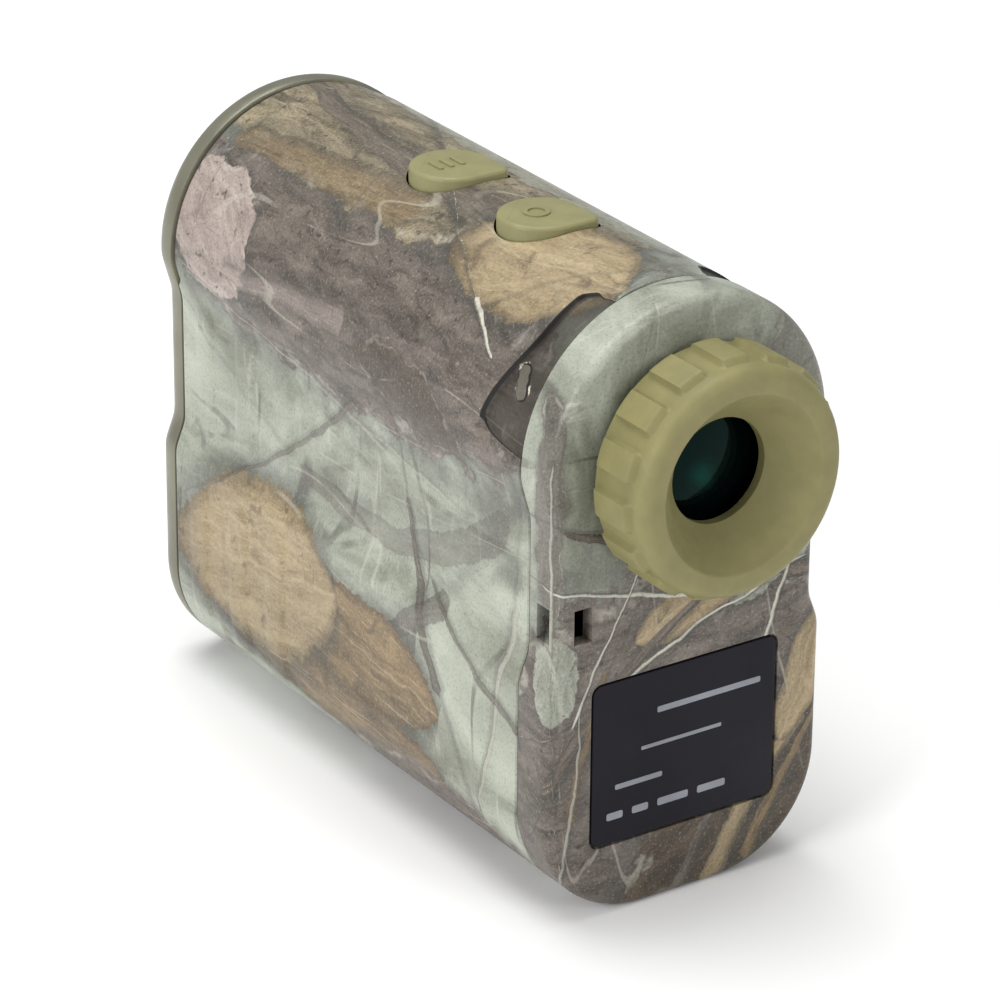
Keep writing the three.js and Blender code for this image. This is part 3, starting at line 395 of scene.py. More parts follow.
def makeBlotGroup():
    tree, given, result = newGroup("blotLayer", patchNumbers, patchColors)
    along, across, local = patchAxes(tree, given, 5.0)
    spread = calc(tree, "SQRT", plus(tree, times(tree, along, along), times(tree, across, across)))
    rag = times(tree, minus(tree, noise(tree, local, 0.17, 6, 0.58), 0.5), 0.9)
    outside = plus(tree, spread, rag)
    mask = times(tree, ease(tree, outside, 1.0, 0.94), given["Strength"])
    bark = noise(tree, stretch(tree, local, (0.3, 1.0, 1)), 0.45, 9, 0.66, 0.7)
    fine = noise(tree, stretch(tree, local, (0.8, 1.6, 1)), 3.2, 4, 0.6)
    tone = ease(tree, calc(tree, "MULTIPLY_ADD", fine, 0.35, times(tree, bark, 0.8)), 0.36, 0.8)
    inner = mixColor(tree, tone, given["Dark"], given["Light"])
    pits = ease(tree, noise(tree, local, 0.75, 5, 0.6), 0.58, 0.68, 0.0, 0.7)
    inner = mixColor(tree, pits, inner, (0.035, 0.03, 0.025))
    broken = ease(tree, noise(tree, local, 0.3, 3), 0.42, 0.66, 0.0, 0.5)
    rim = times(tree, ease(tree, apart(tree, outside, 0.9), 0.07, 0.0), broken)
    inner = mixColor(tree, rim, inner, (0.5, 0.48, 0.42))
    shadow = times(tree, ease(tree, outside, 1.3, 0.95, 0.0, 0.5), given["Strength"])
    shaded = mixColor(tree, shadow, given["Below"], (0.06, 0.06, 0.055))
    wire(tree, mixColor(tree, mask, shaded, inner), result)
    return tree

layerGroups = {"leaf": makeLeafGroup(), "branch": makeBranchGroup(), "blot": makeBlotGroup()}

def addLayer(tree, flat, below, index, kind, u, v, turn, length, width, dark, light, bend=0.0, strength=1.0):
    node = tree.nodes.new("ShaderNodeGroup")
    node.node_tree = layerGroups[kind]
    wire(tree, flat, node.inputs["Place"])
    wire(tree, below, node.inputs["Below"])
    values = {"U": u, "V": v, "Turn": math.radians(turn), "HalfLength": length / 2, "HalfWidth": width / 2,
              "Bend": bend, "Seed": 3.7 * index, "Strength": strength}
    for key, value in values.items():
        node.inputs[key].default_value = value
    node.inputs["Dark"].default_value = (*dark, 1)
    node.inputs["Light"].default_value = (*light, 1)
    return node.outputs["Color"]

# turn is measured from the direction round the body (U) towards the direction along it (V)
tones = {
    "sage": ((0.185, 0.195, 0.15), (0.45, 0.48, 0.40)),
    "taupe": ((0.05, 0.042, 0.034), (0.205, 0.172, 0.145)),
    "bark": ((0.055, 0.043, 0.028), (0.37, 0.31, 0.20)),
    "umber": ((0.035, 0.027, 0.019), (0.12, 0.09, 0.06)),
    "tan": ((0.23, 0.17, 0.09), (0.44, 0.35, 0.21)),
    "brown": ((0.10, 0.068, 0.035), (0.30, 0.215, 0.115)),
    "pink": ((0.22, 0.175, 0.155), (0.46, 0.385, 0.345)),
    "lichen": ((0.22, 0.235, 0.175), (0.40, 0.41, 0.33)),
    "cream": ((0.34, 0.33, 0.27), (0.54, 0.53, 0.45)),
    "stick": ((0.05, 0.042, 0.034), (0.20, 0.165, 0.13)),
    "twig": ((0.38, 0.37, 0.30), (0.60, 0.58, 0.50)),
}

shellFilm = {
    "tone": "sage",
    "layers": [
        ("blot", -24, 6, 88, 100, 30, "taupe"),
        ("blot", -1, 14, 90, 92, 26, "bark"),
        ("branch", -11, 24, 94, 40, 7, "brown", 0.0, 0.6),
        ("blot", 10, 10, 86, 70, 10, "lichen", 0.0, 0.6),
        ("blot", -25, 38, 68, 22, 16, "pink"),
        ("branch", -28, 20, 96, 30, 4, "pink", 0.0, 0.5),
        ("blot", -31, -10, 76, 26, 8, "umber", 0.0, 0.6),
        ("branch", -4, 20, 84, 60, 5, "stick", 1.5, 0.8),
        ("leaf", -7.5, -19, 100, 30, 19, "tan"),
        ("branch", -18.5, -20, 240, 10, 0.8, "twig"),
        ("branch", -38, 14, 80, 66, 0.8, "cream", 2.5, 0.35),
        ("branch", -52, -8, 102, 50, 5, "taupe", 2.5, 0.4),
        ("branch", -58, -12, 22, 26, 1.9, "stick", 0.8, 0.8),
        ("branch", -65, -6, 122, 30, 3.4, "taupe", 0.8, 0.55),
        ("leaf", -80, 10, 86, 56, 12, "brown"),
        ("leaf", -70, 4, 84, 44, 14, "brown"),
        ("leaf", -69, 27, 99, 42, 24, "tan"),
        ("blot", -88, -14, 90, 40, 14, "stick"),
        ("branch", -66, -30, 170, 30, 1.2, "twig", 0.8, 0.5),
        ("branch", -50, 20, 125, 44, 1.0, "stick", 2.0, 0.5),
        ("branch", -62, -24, 60, 26, 1.2, "stick", 2.0, 0.6),
        ("blot", 28, -4, 88, 84, 22, "taupe"),
        ("leaf", 72, 12, 84, 50, 18, "brown"),
        ("branch", 56, -6, 60, 50, 3, "stick", 1.5, 0.8),
    ],
}

doorFilm = {
    "tone": "sage",
    "layers": [
        ("blot", 90, 0, 80, 50, 22, "taupe"),
        ("leaf", 82, -6, 70, 36, 14, "tan"),
        ("branch", 86, 8, 100, 40, 3, "stick", 1.5, 0.8),
        ("branch", 95, 0, 75, 44, 1.2, "twig", 1.0, 0.6),
    ],
}

# where the fine painted shade line near the front seam runs, in millimetres along the film
frontLineY = 41.9

# thin winding lines where a noise crosses its middle
def threads(tree, flat, shape, turn, scale, width, strength):
    value = noise(tree, stretch(tree, flat, shape, turn), scale, 1.6, 0.4, 0.2)
    line = ease(tree, apart(tree, value, 0.5), width, width * 0.35)
    return times(tree, line, ease(tree, noise(tree, flat, 0.09, 3), 0.44, 0.6, 0.0, strength))

shadowThreads = (
    ((1, 0.25, 1), 0.6, 0.02, 0.6, (0.1, 0.1, 0.08)),
    ((0.3, 1, 1), -0.6, 0.014, 0.7, (0.09, 0.085, 0.07)),
)

# the recess's dark floor, lines of painted shade round it and its pad with painted glints along them, and a
# fine painted shade line with painted glints near the front seam
def paintMouldings(tree, flat, color):
    step, pad, _ = split(tree, readMap(tree, "moulding"))
    color = mixColor(tree, ease(tree, step, 0.05, -0.05, 0.0, 0.72), color, (0.03, 0.025, 0.019))
    color = mixColor(tree, ease(tree, pad, 0.05, -0.05, 0.0, 0.25), color, (0.3, 0.28, 0.22))
    for distance, width in ((step, 0.3), (pad, 0.16)):
        # painted shade: a near-black line along the recess's step and round the pad, where the step walls
        # would be in shade
        line = ease(tree, unsigned(tree, distance), width, width * 0.5)
        color = mixColor(tree, line, color, (0.01, 0.009, 0.008))
        # painted highlight: pale glints along the step and pad lines
        glint = ease(tree, apart(tree, distance, width * 1.5), 0.16, 0.05)
        glint = times(tree, glint, ease(tree, noise(tree, flat, 0.6, 3, 0.7), 0.56, 0.66))
        color = mixColor(tree, glint, color, (0.62, 0.58, 0.46))
    around, along, _ = split(tree, flat)
    # painted shade: a thin dark line along the step near the front seam
    near = ease(tree, apart(tree, along, frontLineY), 0.2, 0.08)
    near = times(tree, near, ease(tree, unsigned(tree, around), 32, 28))
    color = mixColor(tree, times(tree, near, 0.45), color, (0.05, 0.045, 0.04))
    # painted highlight: pale glints scattered along the front seam's line
    paintedFrontGlints = times(tree, near, ease(tree, noise(tree, flat, 0.9, 3, 0.7), 0.58, 0.66))
    return mixColor(tree, paintedFrontGlints, color, (0.66, 0.66, 0.60))

def makeFilm(name, plan, mouldings=False):
    material = newMaterial(name, (0.4, 0.4, 0.3), 0.4, Specular_IOR_Level=0.3,
                           Coat_Weight=0.12, Coat_Roughness=0.2)
    tree = material.node_tree
    flat = readMap(tree, "film")
    clouds = noise(tree, stretch(tree, flat, (1.0, 0.45, 1)), 0.07, 6, 0.6, 0.7)
    color = mixColor(tree, ease(tree, clouds, 0.3, 0.7), *tones[plan["tone"]])
    streaks = noise(tree, stretch(tree, flat, (0.35, 1.6, 1), 0.6), 0.22, 7, 0.62, 1.2)
    color = mixColor(tree, ease(tree, streaks, 0.56, 0.72, 0, 0.5), color, tones["cream"][1])
    for shape, turn, width, strength, tone in shadowThreads:
        color = mixColor(tree, threads(tree, flat, shape, turn, 0.06, width, strength), color, tone)
    for index, (kind, u, v, turn, length, width, tone, *more) in enumerate(plan["layers"]):
        color = addLayer(tree, flat, color, index, kind, u, v, turn, length, width, *tones[tone], *more)
    pale = threads(tree, flat, (1, 0.2, 1), 0.2, 0.07, 0.006, 0.35)
    color = mixColor(tree, pale, color, (0.50, 0.48, 0.40))
    grit = noise(tree, flat, 2.4, 6, 0.75)
    color = mixColor(tree, ease(tree, grit, 0.5, 0.72, 0.0, 0.55), color, (0.035, 0.032, 0.027))
    color = mixColor(tree, ease(tree, grit, 0.46, 0.3, 0.0, 0.4), color, (0.55, 0.53, 0.45))
    if mouldings:
        color = paintMouldings(tree, flat, color)
    shader = tree.nodes["Principled BSDF"]
    wire(tree, color, shader.inputs["Base Color"])
    wire(tree, ease(tree, noise(tree, flat, 0.5, 4), 0.3, 0.7, 0.34, 0.46), shader.inputs["Roughness"])
    addBump(tree, noise(tree, flat, 2.2, 3), 0.12, 0.0001)
    return material

def plainFinish(name, color, roughness, metallic=0.0, scale=120, spread=0.12,
                bump=0.15, bumpScale=4000, **more):
    material = newMaterial(name, color, roughness, metallic, **more)
    tree = material.node_tree
    shader = tree.nodes["Principled BSDF"]
    where = objectPlace(tree)
    dark, light = (tuple(c * (1 + side * spread) for c in color) for side in (-1, 1))
    cloud = noise(tree, where, scale, 5)
    wire(tree, mixColor(tree, ease(tree, cloud, 0.3, 0.7), dark, light), shader.inputs["Base Color"])
    rough = ease(tree, noise(tree, where, scale * 3, 4), 0.3, 0.7, roughness - 0.05, roughness + 0.06)
    wire(tree, rough, shader.inputs["Roughness"])
    addBump(tree, noise(tree, where, bumpScale, 3), bump, 0.0001)
    return material

dull = {"Specular_IOR_Level": 0.3}
finishes = {
    "pearl": plainFinish("pearlPlastic", (0.20, 0.195, 0.145), 0.33, 0.45, scale=90, bumpScale=9000),
    "olive": plainFinish("oliveRubber", (0.225, 0.205, 0.088), 0.52, scale=260, spread=0.07,
                         bump=0.3, **dull),
    "button": plainFinish("oliveButton", (0.245, 0.232, 0.11), 0.42, scale=260, spread=0.06,
                          bump=0.2, **dull),
    "label": plainFinish("labelBlack", (0.011, 0.010, 0.015), 0.38, Specular_IOR_Level=0.12),
    "ink": plainFinish("labelInk", (0.25, 0.26, 0.29), 0.5, Specular_IOR_Level=0.15),
    "seal": plainFinish("sealRubber", (0.012, 0.012, 0.012), 0.7),
    "black": plainFinish("blackPlastic", (0.014, 0.014, 0.014), 0.5),
    "anodised": plainFinish("anodised", (0.03, 0.031, 0.034), 0.34, 0.6),
    "steel": plainFinish("platedSteel", (0.52, 0.51, 0.49), 0.3, 0.95, scale=300),
    "brass": plainFinish("contactBrass", (0.62, 0.47, 0.22), 0.32, 0.95),
    "board": plainFinish("boardLaminate", (0.02, 0.11, 0.05), 0.4),
    "can": plainFinish("cellCan", (0.07, 0.11, 0.19), 0.3, 0.3),
    "clear": newMaterial("clearGlass", (0.8, 0.86, 0.84), 0.03, Transmission_Weight=0.9),
    "coated": newMaterial("coatedGlass", (0.002, 0.006, 0.005), 0.05, IOR=1.5, Specular_IOR_Level=0.12,
                          Specular_Tint=(0.3, 1.0, 0.7, 1)),
}
slotFinish = {
    "camo_film": "black", "pearl_plastic": "pearl", "label_black": "label", "olive_rubber": "olive",
    "olive_button": "button", "seal_rubber": "seal", "coated_glass": "coated", "clear_glass": "clear",
    "anodised_aluminium": "anodised", "steel": "steel", "contact_brass": "brass", "board_laminate": "board",
    "cell_can": "can", "black_plastic": "black",
}
for row in frame["record"]["subparts"]:
    node = frame["nodes"][row["node"]]
    node.data.materials.clear()
    node.data.materials.append(finishes[slotFinish[row["material_slot"]]])
print("finishes ready")

# half of the body's section, as points from the crown down to the middle of the base
def halfOutline(step=0.2 * mm):
    radius = body["barrelRadius"]
    corner = body["cornerRadius"]
    path = []
    for i in range(91):
        angle = math.radians(i)
        path.append((radius * math.sin(angle), barrelAxis + radius * math.cos(angle)))
    path.append((radius, barrelAxis - body["flankDrop"]))
    path.append((body["waistHalf"], body["waistTop"]))
    path.append((body["waistHalf"], body["waistBottom"]))
    path.append((radius, body["gripTop"]))
    for i in range(46):
        angle = math.radians(2 * i)
        path.append((radius - corner + corner * math.cos(angle), corner - corner * math.sin(angle)))
    path.append((0.0, 0.0))
    points = np.array(path)
    lengths = np.concatenate([[0], np.cumsum(np.hypot(*np.diff(points, axis=0).T))])
    count = int(lengths[-1] / step)
    along = np.linspace(0, lengths[-1], count + 1)
    even = np.stack([np.interp(along, lengths, points[:, 0]), np.interp(along, lengths, points[:, 1])], 1)
    # the bends at the waist are eased
    passes = int((body["jogRadius"] / step) ** 2 / 6)
    bends = (even[:, 1] > body["gripTop"] - 5 * mm) & (even[:, 1] < barrelAxis + 3 * mm)
    for _ in range(passes):
        moved = even.copy()
        moved[1:-1] = (even[:-2] + 2 * even[1:-1] + even[2:]) / 4
        even = np.where(bends[:, None], moved, even)
    return along, even

outlineLengths, outlinePoints = halfOutline()
outlineSlopes = np.gradient(outlinePoints, outlineLengths, axis=0)
halfGirth = outlineLengths[-1]

# from flat film places (s round the body, y along it, height above it) to the real ones
def wrapPoints(s, y, height):
    side = np.where(s < 0, -1.0, 1.0)
    at = np.abs(s)
    x = np.interp(at, outlineLengths, outlinePoints[:, 0])
    z = np.interp(at, outlineLengths, outlinePoints[:, 1])
    slopeX = np.interp(at, outlineLengths, outlineSlopes[:, 0])
    slopeZ = np.interp(at, outlineLengths, outlineSlopes[:, 1])
    size = np.hypot(slopeX, slopeZ)
    normalX, normalZ = -slopeZ / size, slopeX / size
    return np.stack([side * (x + normalX * height), y, z + normalZ * height], 1)

def easeStep(value, low, high):
    t = np.clip((value - low) / (high - low), 0, 1)
    return t * t * (3 - 2 * t)

# distance outside a bar with round ends, centred at (s, y)
def barDistance(s, y, centre, halfLength, radius, turn=0.0):
    ds, dy = s - centre[0], y - centre[1]
    cosine, sine = math.cos(turn), math.sin(turn)
    lengthwise = ds * cosine + dy * sine
    sideways = dy * cosine - ds * sine
    beyond = np.maximum(np.abs(lengthwise) - (halfLength - radius), 0)
    return np.hypot(beyond, sideways) - radius

moulding = {
    "gripDepth": 0.75 * mm, "gripTop": 6.5 * mm, "gripBottom": 31.5 * mm, "gripEdge": 0.4 * mm,
    "reach": 4.7 * mm, "reachSteps": ((4.5 * mm, 15 * mm, 30 * mm), (2 * mm, 30 * mm, 38 * mm)),
    "reachRound": 2.4 * mm, "reachLeast": 0.8 * mm, "stepRow": 5 * mm, "evenFrom": 24 * mm,
    "padPlace": (21.8 * mm, 3.9 * mm), "padLength": 2.4 * mm, "padRadius": 1.0 * mm, "padRise": 0.4 * mm,
    "padTurn": 0.35, "frontGripDepth": 0.4 * mm, "frontGripWidth": 4.6 * mm, "frontGripEnd": 36 * mm,
    "ribRise": 0.28 * mm, "ribHalfWidth": 2.0 * mm, "ribEdge": 0.5 * mm,
    "frontRibs": (6.1 * mm, 15.9 * mm, 25.2 * mm), "rearRib": 7.6 * mm,
    "upperRib": (38 * mm, 54.5 * mm), "lowerRib": (62.5 * mm, 84 * mm),
    "edgeRound": 0.22 * mm,
}

# how far ahead of the rear seam the rear recess reaches, at a length round the body
def recessReach(at):
    m = moulding
    reach = m["reach"] + sum(more * easeStep(at, low, high) for more, low, high in m["reachSteps"])
    rounded = np.sqrt(np.clip((at - m["gripTop"]) / m["reachRound"], 0, 1))
    return np.maximum(reach * rounded, m["reachLeast"])

# rows of points are drawn along the recess's edge, so that its step stays sharp
def followRecess(s, y):
    near, far = moulding["stepRow"], moulding["evenFrom"]
    depth, reach = y - shellLow.y, recessReach(np.abs(s))
    inside = depth * reach / near
    beyond = reach + (depth - near) * (far - reach) / (far - near)
    return shellLow.y + np.where(depth < near, inside, np.where(depth < far, beyond, depth))

def shellRelief(s, y):
    rear, front = shellLow.y, shellHigh.y
    at = np.abs(s)
    fromRear, fromFront = y - rear, front - y
    m = moulding
    step = fromRear - recessReach(at)
    ends = easeStep(at, m["gripBottom"], m["gripBottom"] - 4 * mm)
    ends *= easeStep(at, m["gripTop"], m["gripTop"] + mm)
    height = -m["gripDepth"] * ends * easeStep(step, 0, -m["gripEdge"])
    step = step * ends + 3 * mm * (1 - ends)
    pads = np.full_like(s, 3 * mm)
    for sign in (1, -1):
        centre = (sign * m["padPlace"][0], rear + m["padPlace"][1])
        pad = barDistance(s, y, centre, m["padLength"], m["padRadius"], -m["padTurn"] * sign)
        height += m["padRise"] * easeStep(pad, 0.15 * mm, -0.35 * mm)
        pads = np.minimum(pads, pad)
    frontLimit = m["frontGripWidth"] * np.sqrt(np.clip((m["frontGripEnd"] - at) / (5 * mm), 0, 1))
    height += -m["frontGripDepth"] * easeStep(fromFront, frontLimit, frontLimit - m["gripEdge"])
    upper, lower = m["upperRib"], m["lowerRib"]
    places = [(front - d, upper) for d in m["frontRibs"]] + [(front - d, lower) for d in m["frontRibs"]]
    places.append((rear + m["rearRib"], lower))
    for ribY, (top, bottom) in places:
        rib = barDistance(at, y, ((top + bottom) / 2, ribY), (bottom - top) / 2, m["ribHalfWidth"])
        height += m["ribRise"] * easeStep(rib, m["ribEdge"] / 2, -m["ribEdge"] / 2)
    edge = np.minimum(fromRear, fromFront)
    height -= m["edgeRound"] * (1 - np.sqrt(np.clip(edge / m["edgeRound"], 0, 1)))
    return height, step, pads

def evenRows(low, high, step, edgeSteps):
    inner = np.linspace(low + edgeSteps[-1], high - edgeSteps[-1], int((high - low) / step))
    near = np.array([0, *edgeSteps[:-1]])
    return np.concatenate([low + near, inner, high - near[::-1]])

# the door's box, the hinge pin's place and the front edge of the door's wide part
def doorPlaces():
    low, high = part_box("battery_door")
    pinLow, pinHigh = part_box("hinge_pin")
    pinY, pinZ = (pinLow.y + pinHigh.y) / 2, (pinLow.z + pinHigh.z) / 2
    barrel = high.y - pinY
    return low, high, pinY, pinZ, pinY - barrel - seamGap

# writes a pair of numbers for each vertex as a UV map
def writeMap(piece, name, pairs):
    layer = piece.data.uv_layers.get(name) or piece.data.uv_layers.new(name=name)
    loops = np.zeros(len(piece.data.loops), np.int32)
    piece.data.loops.foreach_get("vertex_index", loops)
    layer.data.foreach_set("uv", pairs[loops].astype(np.float32).ravel())

# the flat place of each vertex, in millimetres, which the film reads
def writeFilm(piece, flat):
    writeMap(piece, "film", flat / mm)

def vertexArray(piece):
    points = np.zeros(len(piece.data.vertices) * 3, np.float32)
    piece.data.vertices.foreach_get("co", points)
    return points.reshape(-1, 3).astype(float)

def setVertices(piece, points):
    piece.data.vertices.foreach_set("co", points.astype(np.float32).ravel())
    piece.data.update()

shellPlan = {
    "step": 0.6 * mm, "edgeSteps": (0.08 * mm, 0.22 * mm, 0.5 * mm),
    "stepRows": (-0.5 * mm, -0.38 * mm, -0.26 * mm, -0.13 * mm, 0, 0.3 * mm), "stepClear": 0.55 * mm,
    "wellGap": 0.3 * mm, "capFlange": 1.2 * mm, "doorwayHeight": 5.4 * mm,
    "hingeHalf": 7.5 * mm, "lugWidth": 2.6 * mm, "lugDrop": 0.8 * mm, "lugRise": 2.4 * mm,
}

# a block with three round corners and a blunt one towards the right and the rear
def buttonBlock(name, low, high, growth, tipRadius=1.2 * mm):
    grown = Vector((growth, growth, 0))
    block = addCube(name, Vector(low) - grown, Vector(high) + grown)
    centre = (Vector(low) + Vector(high)) / 2
    radius = (high.x - low.x) / 2 + growth
    for blunt, width in ((False, radius * 0.999), (True, tipRadius + growth)):
        def isCorner(edge):
            out = middle(edge) - centre
            off = max(abs(abs(out.x) - radius), abs(abs(out.y) - radius))
            return runsAlong(edge, 2) and off < tiny and (out.x > 0 and out.y < 0) == blunt

        pick(block, "EDGE", isCorner)
        bevelPicked(width, 16)
    return block

def capBox(name):
    low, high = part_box(name)
    flange = shellPlan["capFlange"]
    return Vector((low.x + flange, low.y + flange, low.z)), Vector((high.x - flange, high.y - flange, high.z))

def makeShell():
    rows = evenRows(shellLow.y, shellHigh.y, shellPlan["step"], shellPlan["edgeSteps"])
    stepY = shellLow.y + moulding["stepRow"]
    rows = rows[np.abs(rows - stepY) > shellPlan["stepClear"]]
    rows = np.sort(np.concatenate([rows, stepY + np.array(shellPlan["stepRows"])]))
    columns = int(2 * halfGirth / shellPlan["step"])
    deselectAll()
    bpy.ops.mesh.primitive_grid_add(x_subdivisions=columns, y_subdivisions=len(rows) + 2, size=1)
    shell = takeNew("shellSkin")
    s = np.linspace(-halfGirth, halfGirth, columns + 1)
    count = len(rows) + 3
    yAll = np.concatenate([rows, [rows[-1], rows[0], rows[0]]])
    gridS = np.tile(s, count)
    gridY = followRecess(gridS, np.repeat(yAll, columns + 1))
    rowIndex = np.repeat(np.arange(count), columns + 1)
    relief, step, pads = shellRelief(gridS, gridY)
    outside = (rowIndex < len(rows)) | (rowIndex == count - 1)
    height = np.where(outside, relief, -body["wall"])
    setVertices(shell, wrapPoints(gridS, gridY, height))
    writeFilm(shell, np.stack([gridS, gridY], 1))
    writeMap(shell, "moulding", np.clip(np.where(outside, [step, pads], 3 * mm).T / mm, -3, 3))
    openEdit(shell)
    bpy.ops.mesh.select_all(action="SELECT")
    bpy.ops.mesh.remove_doubles(threshold=5e-6)
    bpy.ops.mesh.normals_make_consistent(inside=False)
    closeEdit()
    for name in ("mode_button", "power_button"):
        low, high = capBox(name)
        well = buttonBlock("well", Vector((low.x, low.y, barrelAxis)),
                           Vector((high.x, high.y, high.z + 5 * mm)),
                           shellPlan["wellGap"])
        cutWith(shell, well)
    low, high, pinY, pinZ, frontY = doorPlaces()
    gap, hinge, top = seamGap, shellPlan["hingeHalf"] + seamGap, shellPlan["doorwayHeight"]
    for side in (-1, 1):
        edges = sorted((side * hinge, side * (hinge + shellPlan["lugWidth"])))
        lug = addCube("lug", (edges[0], frontY + gap, pinZ - shellPlan["lugDrop"]),
                      (edges[1], high.y + gap, pinZ + shellPlan["lugRise"]))
        joinWith(shell, lug)
    cutWith(shell, addCube("doorway", (low.x - gap, low.y - gap, -gap), (high.x + gap, frontY + gap, top)),
            addCube("notch", (-hinge, frontY, -gap), (hinge, high.y + gap, top)))
    smooth(shell, 40)
    place(shell, "root", "camo_film", makeFilm("camoShell", shellFilm, True), "main_shell")

makeShell()
print("shell made")

coverPlan = {"step": 0.7 * mm, "easedFrom": 28 * mm, "easedTo": 66 * mm, "easing": 14}

# the whole section drawn in by inset, as a closed loop from the crown
# the bends at the waist are eased, so that the loop never crosses itself
def insetLoop(inset):
    count = int(halfGirth / coverPlan["step"])
    at = np.linspace(0, halfGirth, count + 1)
    slopeX = np.interp(at, outlineLengths, outlineSlopes[:, 0])
    slopeZ = np.interp(at, outlineLengths, outlineSlopes[:, 1])
    normals = np.stack([-slopeZ, slopeX], 1)
    waist = (at > coverPlan["easedFrom"]) & (at < coverPlan["easedTo"])
    for _ in range(coverPlan["easing"]):
        eased = normals.copy()
        eased[1:-1] = (normals[:-2] + normals[1:-1] + normals[2:]) / 3
        normals = np.where(waist[:, None], eased, normals)
    normals /= np.hypot(normals[:, 0], normals[:, 1])[:, None]
    places = np.stack([np.interp(at, outlineLengths, outlinePoints[:, i]) for i in (0, 1)], 1)
    half = places - normals * inset
    half[0, 0] = half[-1, 0] = 0
    mirrored = half[-2:0:-1] * np.array([-1, 1])
    return np.concatenate([half, mirrored])

# a ring of points is drawn out step by step through a profile of (inset, y), closed at both ends
def sweepBody(name, profile):
    loops = [insetLoop(inset) for inset, _ in profile]
    count = len(loops[0])
    deselectAll()
    bpy.ops.mesh.primitive_circle_add(
        vertices=count, radius=30 * mm, fill_type="NGON", rotation=(math.pi / 2, 0, 0))
    piece = takeNew(name)
    openEdit(piece)
    bpy.ops.mesh.select_all(action="SELECT")
    for _ in profile[1:]:
        bpy.ops.mesh.extrude_region_move(TRANSFORM_OT_translate={"value": (0, mm, 0)})
    closeEdit()
    points = vertexArray(piece)
    level = np.rint(points[:, 1] / mm).astype(int)
    angle = np.arctan2(points[:, 0], points[:, 2])
    order = np.rint(np.mod(angle, 2 * math.pi) / (2 * math.pi) * count).astype(int) % count
    for i, (_, y) in enumerate(profile):
        ring = level == i
        points[ring, 0] = loops[i][order[ring], 0]
        points[ring, 1] = y
        points[ring, 2] = loops[i][order[ring], 1]
    setVertices(piece, points)
    openEdit(piece)
    bpy.ops.mesh.select_all(action="SELECT")
    bpy.ops.mesh.normals_make_consistent(inside=False)
    closeEdit()
    return piece

# profile of a cover: from its inner floor out to the seam, along the outside and round the edge to its face
def coverProfile(seamY, faceY, plate, edge, segments):
    side = 1 if faceY > seamY else -1
    soft, wall = 0.2 * mm, body["wall"]
    profile = [(wall, faceY - side * plate), (wall, seamY + side * soft / 2), (wall - soft / 2, seamY),
               (soft, seamY), (soft * 0.3, seamY + side * soft * 0.3), (0.0, seamY + side * soft)]
    for i in range(segments + 1):
        angle = math.pi / 2 * i / segments
        profile.append((edge * (1 - math.cos(angle)), faceY - side * edge * (1 - math.sin(angle))))
    return profile

frontPlan = {"edgeRadius": 3.5 * mm, "edgeSegments": 9, "plate": 2 * mm, "ringGap": 0.3 * mm,
             "headHole": 2.2 * mm, "headDepth": 2.1 * mm}

def screwPlaces():
    boxes = [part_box(f"front_screw_{i}") for i in range(1, 5)]
    return [((low.x + high.x) / 2, (low.z + high.z) / 2) for low, high in boxes]

def makeFrontCover():
    cover = sweepBody("frontBezel", coverProfile(shellHigh.y + seamGap, frontHigh.y, frontPlan["plate"],
                                                 frontPlan["edgeRadius"], frontPlan["edgeSegments"]))
    for node in ("objective_ring", "emitter_ring"):
        low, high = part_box(node)
        centre = (low + high) / 2
        radius = (high.x - low.x) / 2 + frontPlan["ringGap"]
        hole = addRod("hole", radius, (centre.x, frontLow.y - past, centre.z),
                      (centre.x, frontHigh.y + past, centre.z), sides=128)
        cutWith(cover, hole)
    for x, z in screwPlaces():
        hole = addRod("hole", frontPlan["headHole"], (x, frontHigh.y - frontPlan["headDepth"], z),
                      (x, frontHigh.y + past, z))
        cutWith(cover, hole)
    softenEdges(cover, 0.12 * mm, 2, 50)
    smooth(cover, 38)
    place(cover, "root", "pearl_plastic", finishes["pearl"], "front_cover")

makeFrontCover()
print("front cover made")

rearPlan = {"edgeRadius": 1.3 * mm, "edgeSegments": 8, "plate": 2 * mm, "eyeGap": 0.35 * mm,
            "windowZ": 40.5 * mm, "windowHeight": 4.6 * mm, "windowWidth": 2.6 * mm,
            "windowDepth": 3 * mm, "rearWindowX": -15.35 * mm, "sideWindowX": (-22.5 * mm, -16.2 * mm),
            "sideWindowY": 3.25 * mm, "seatGap": 0.3 * mm, "seatCorner": 1.5 * mm, "filmMiddle": 39 * mm}

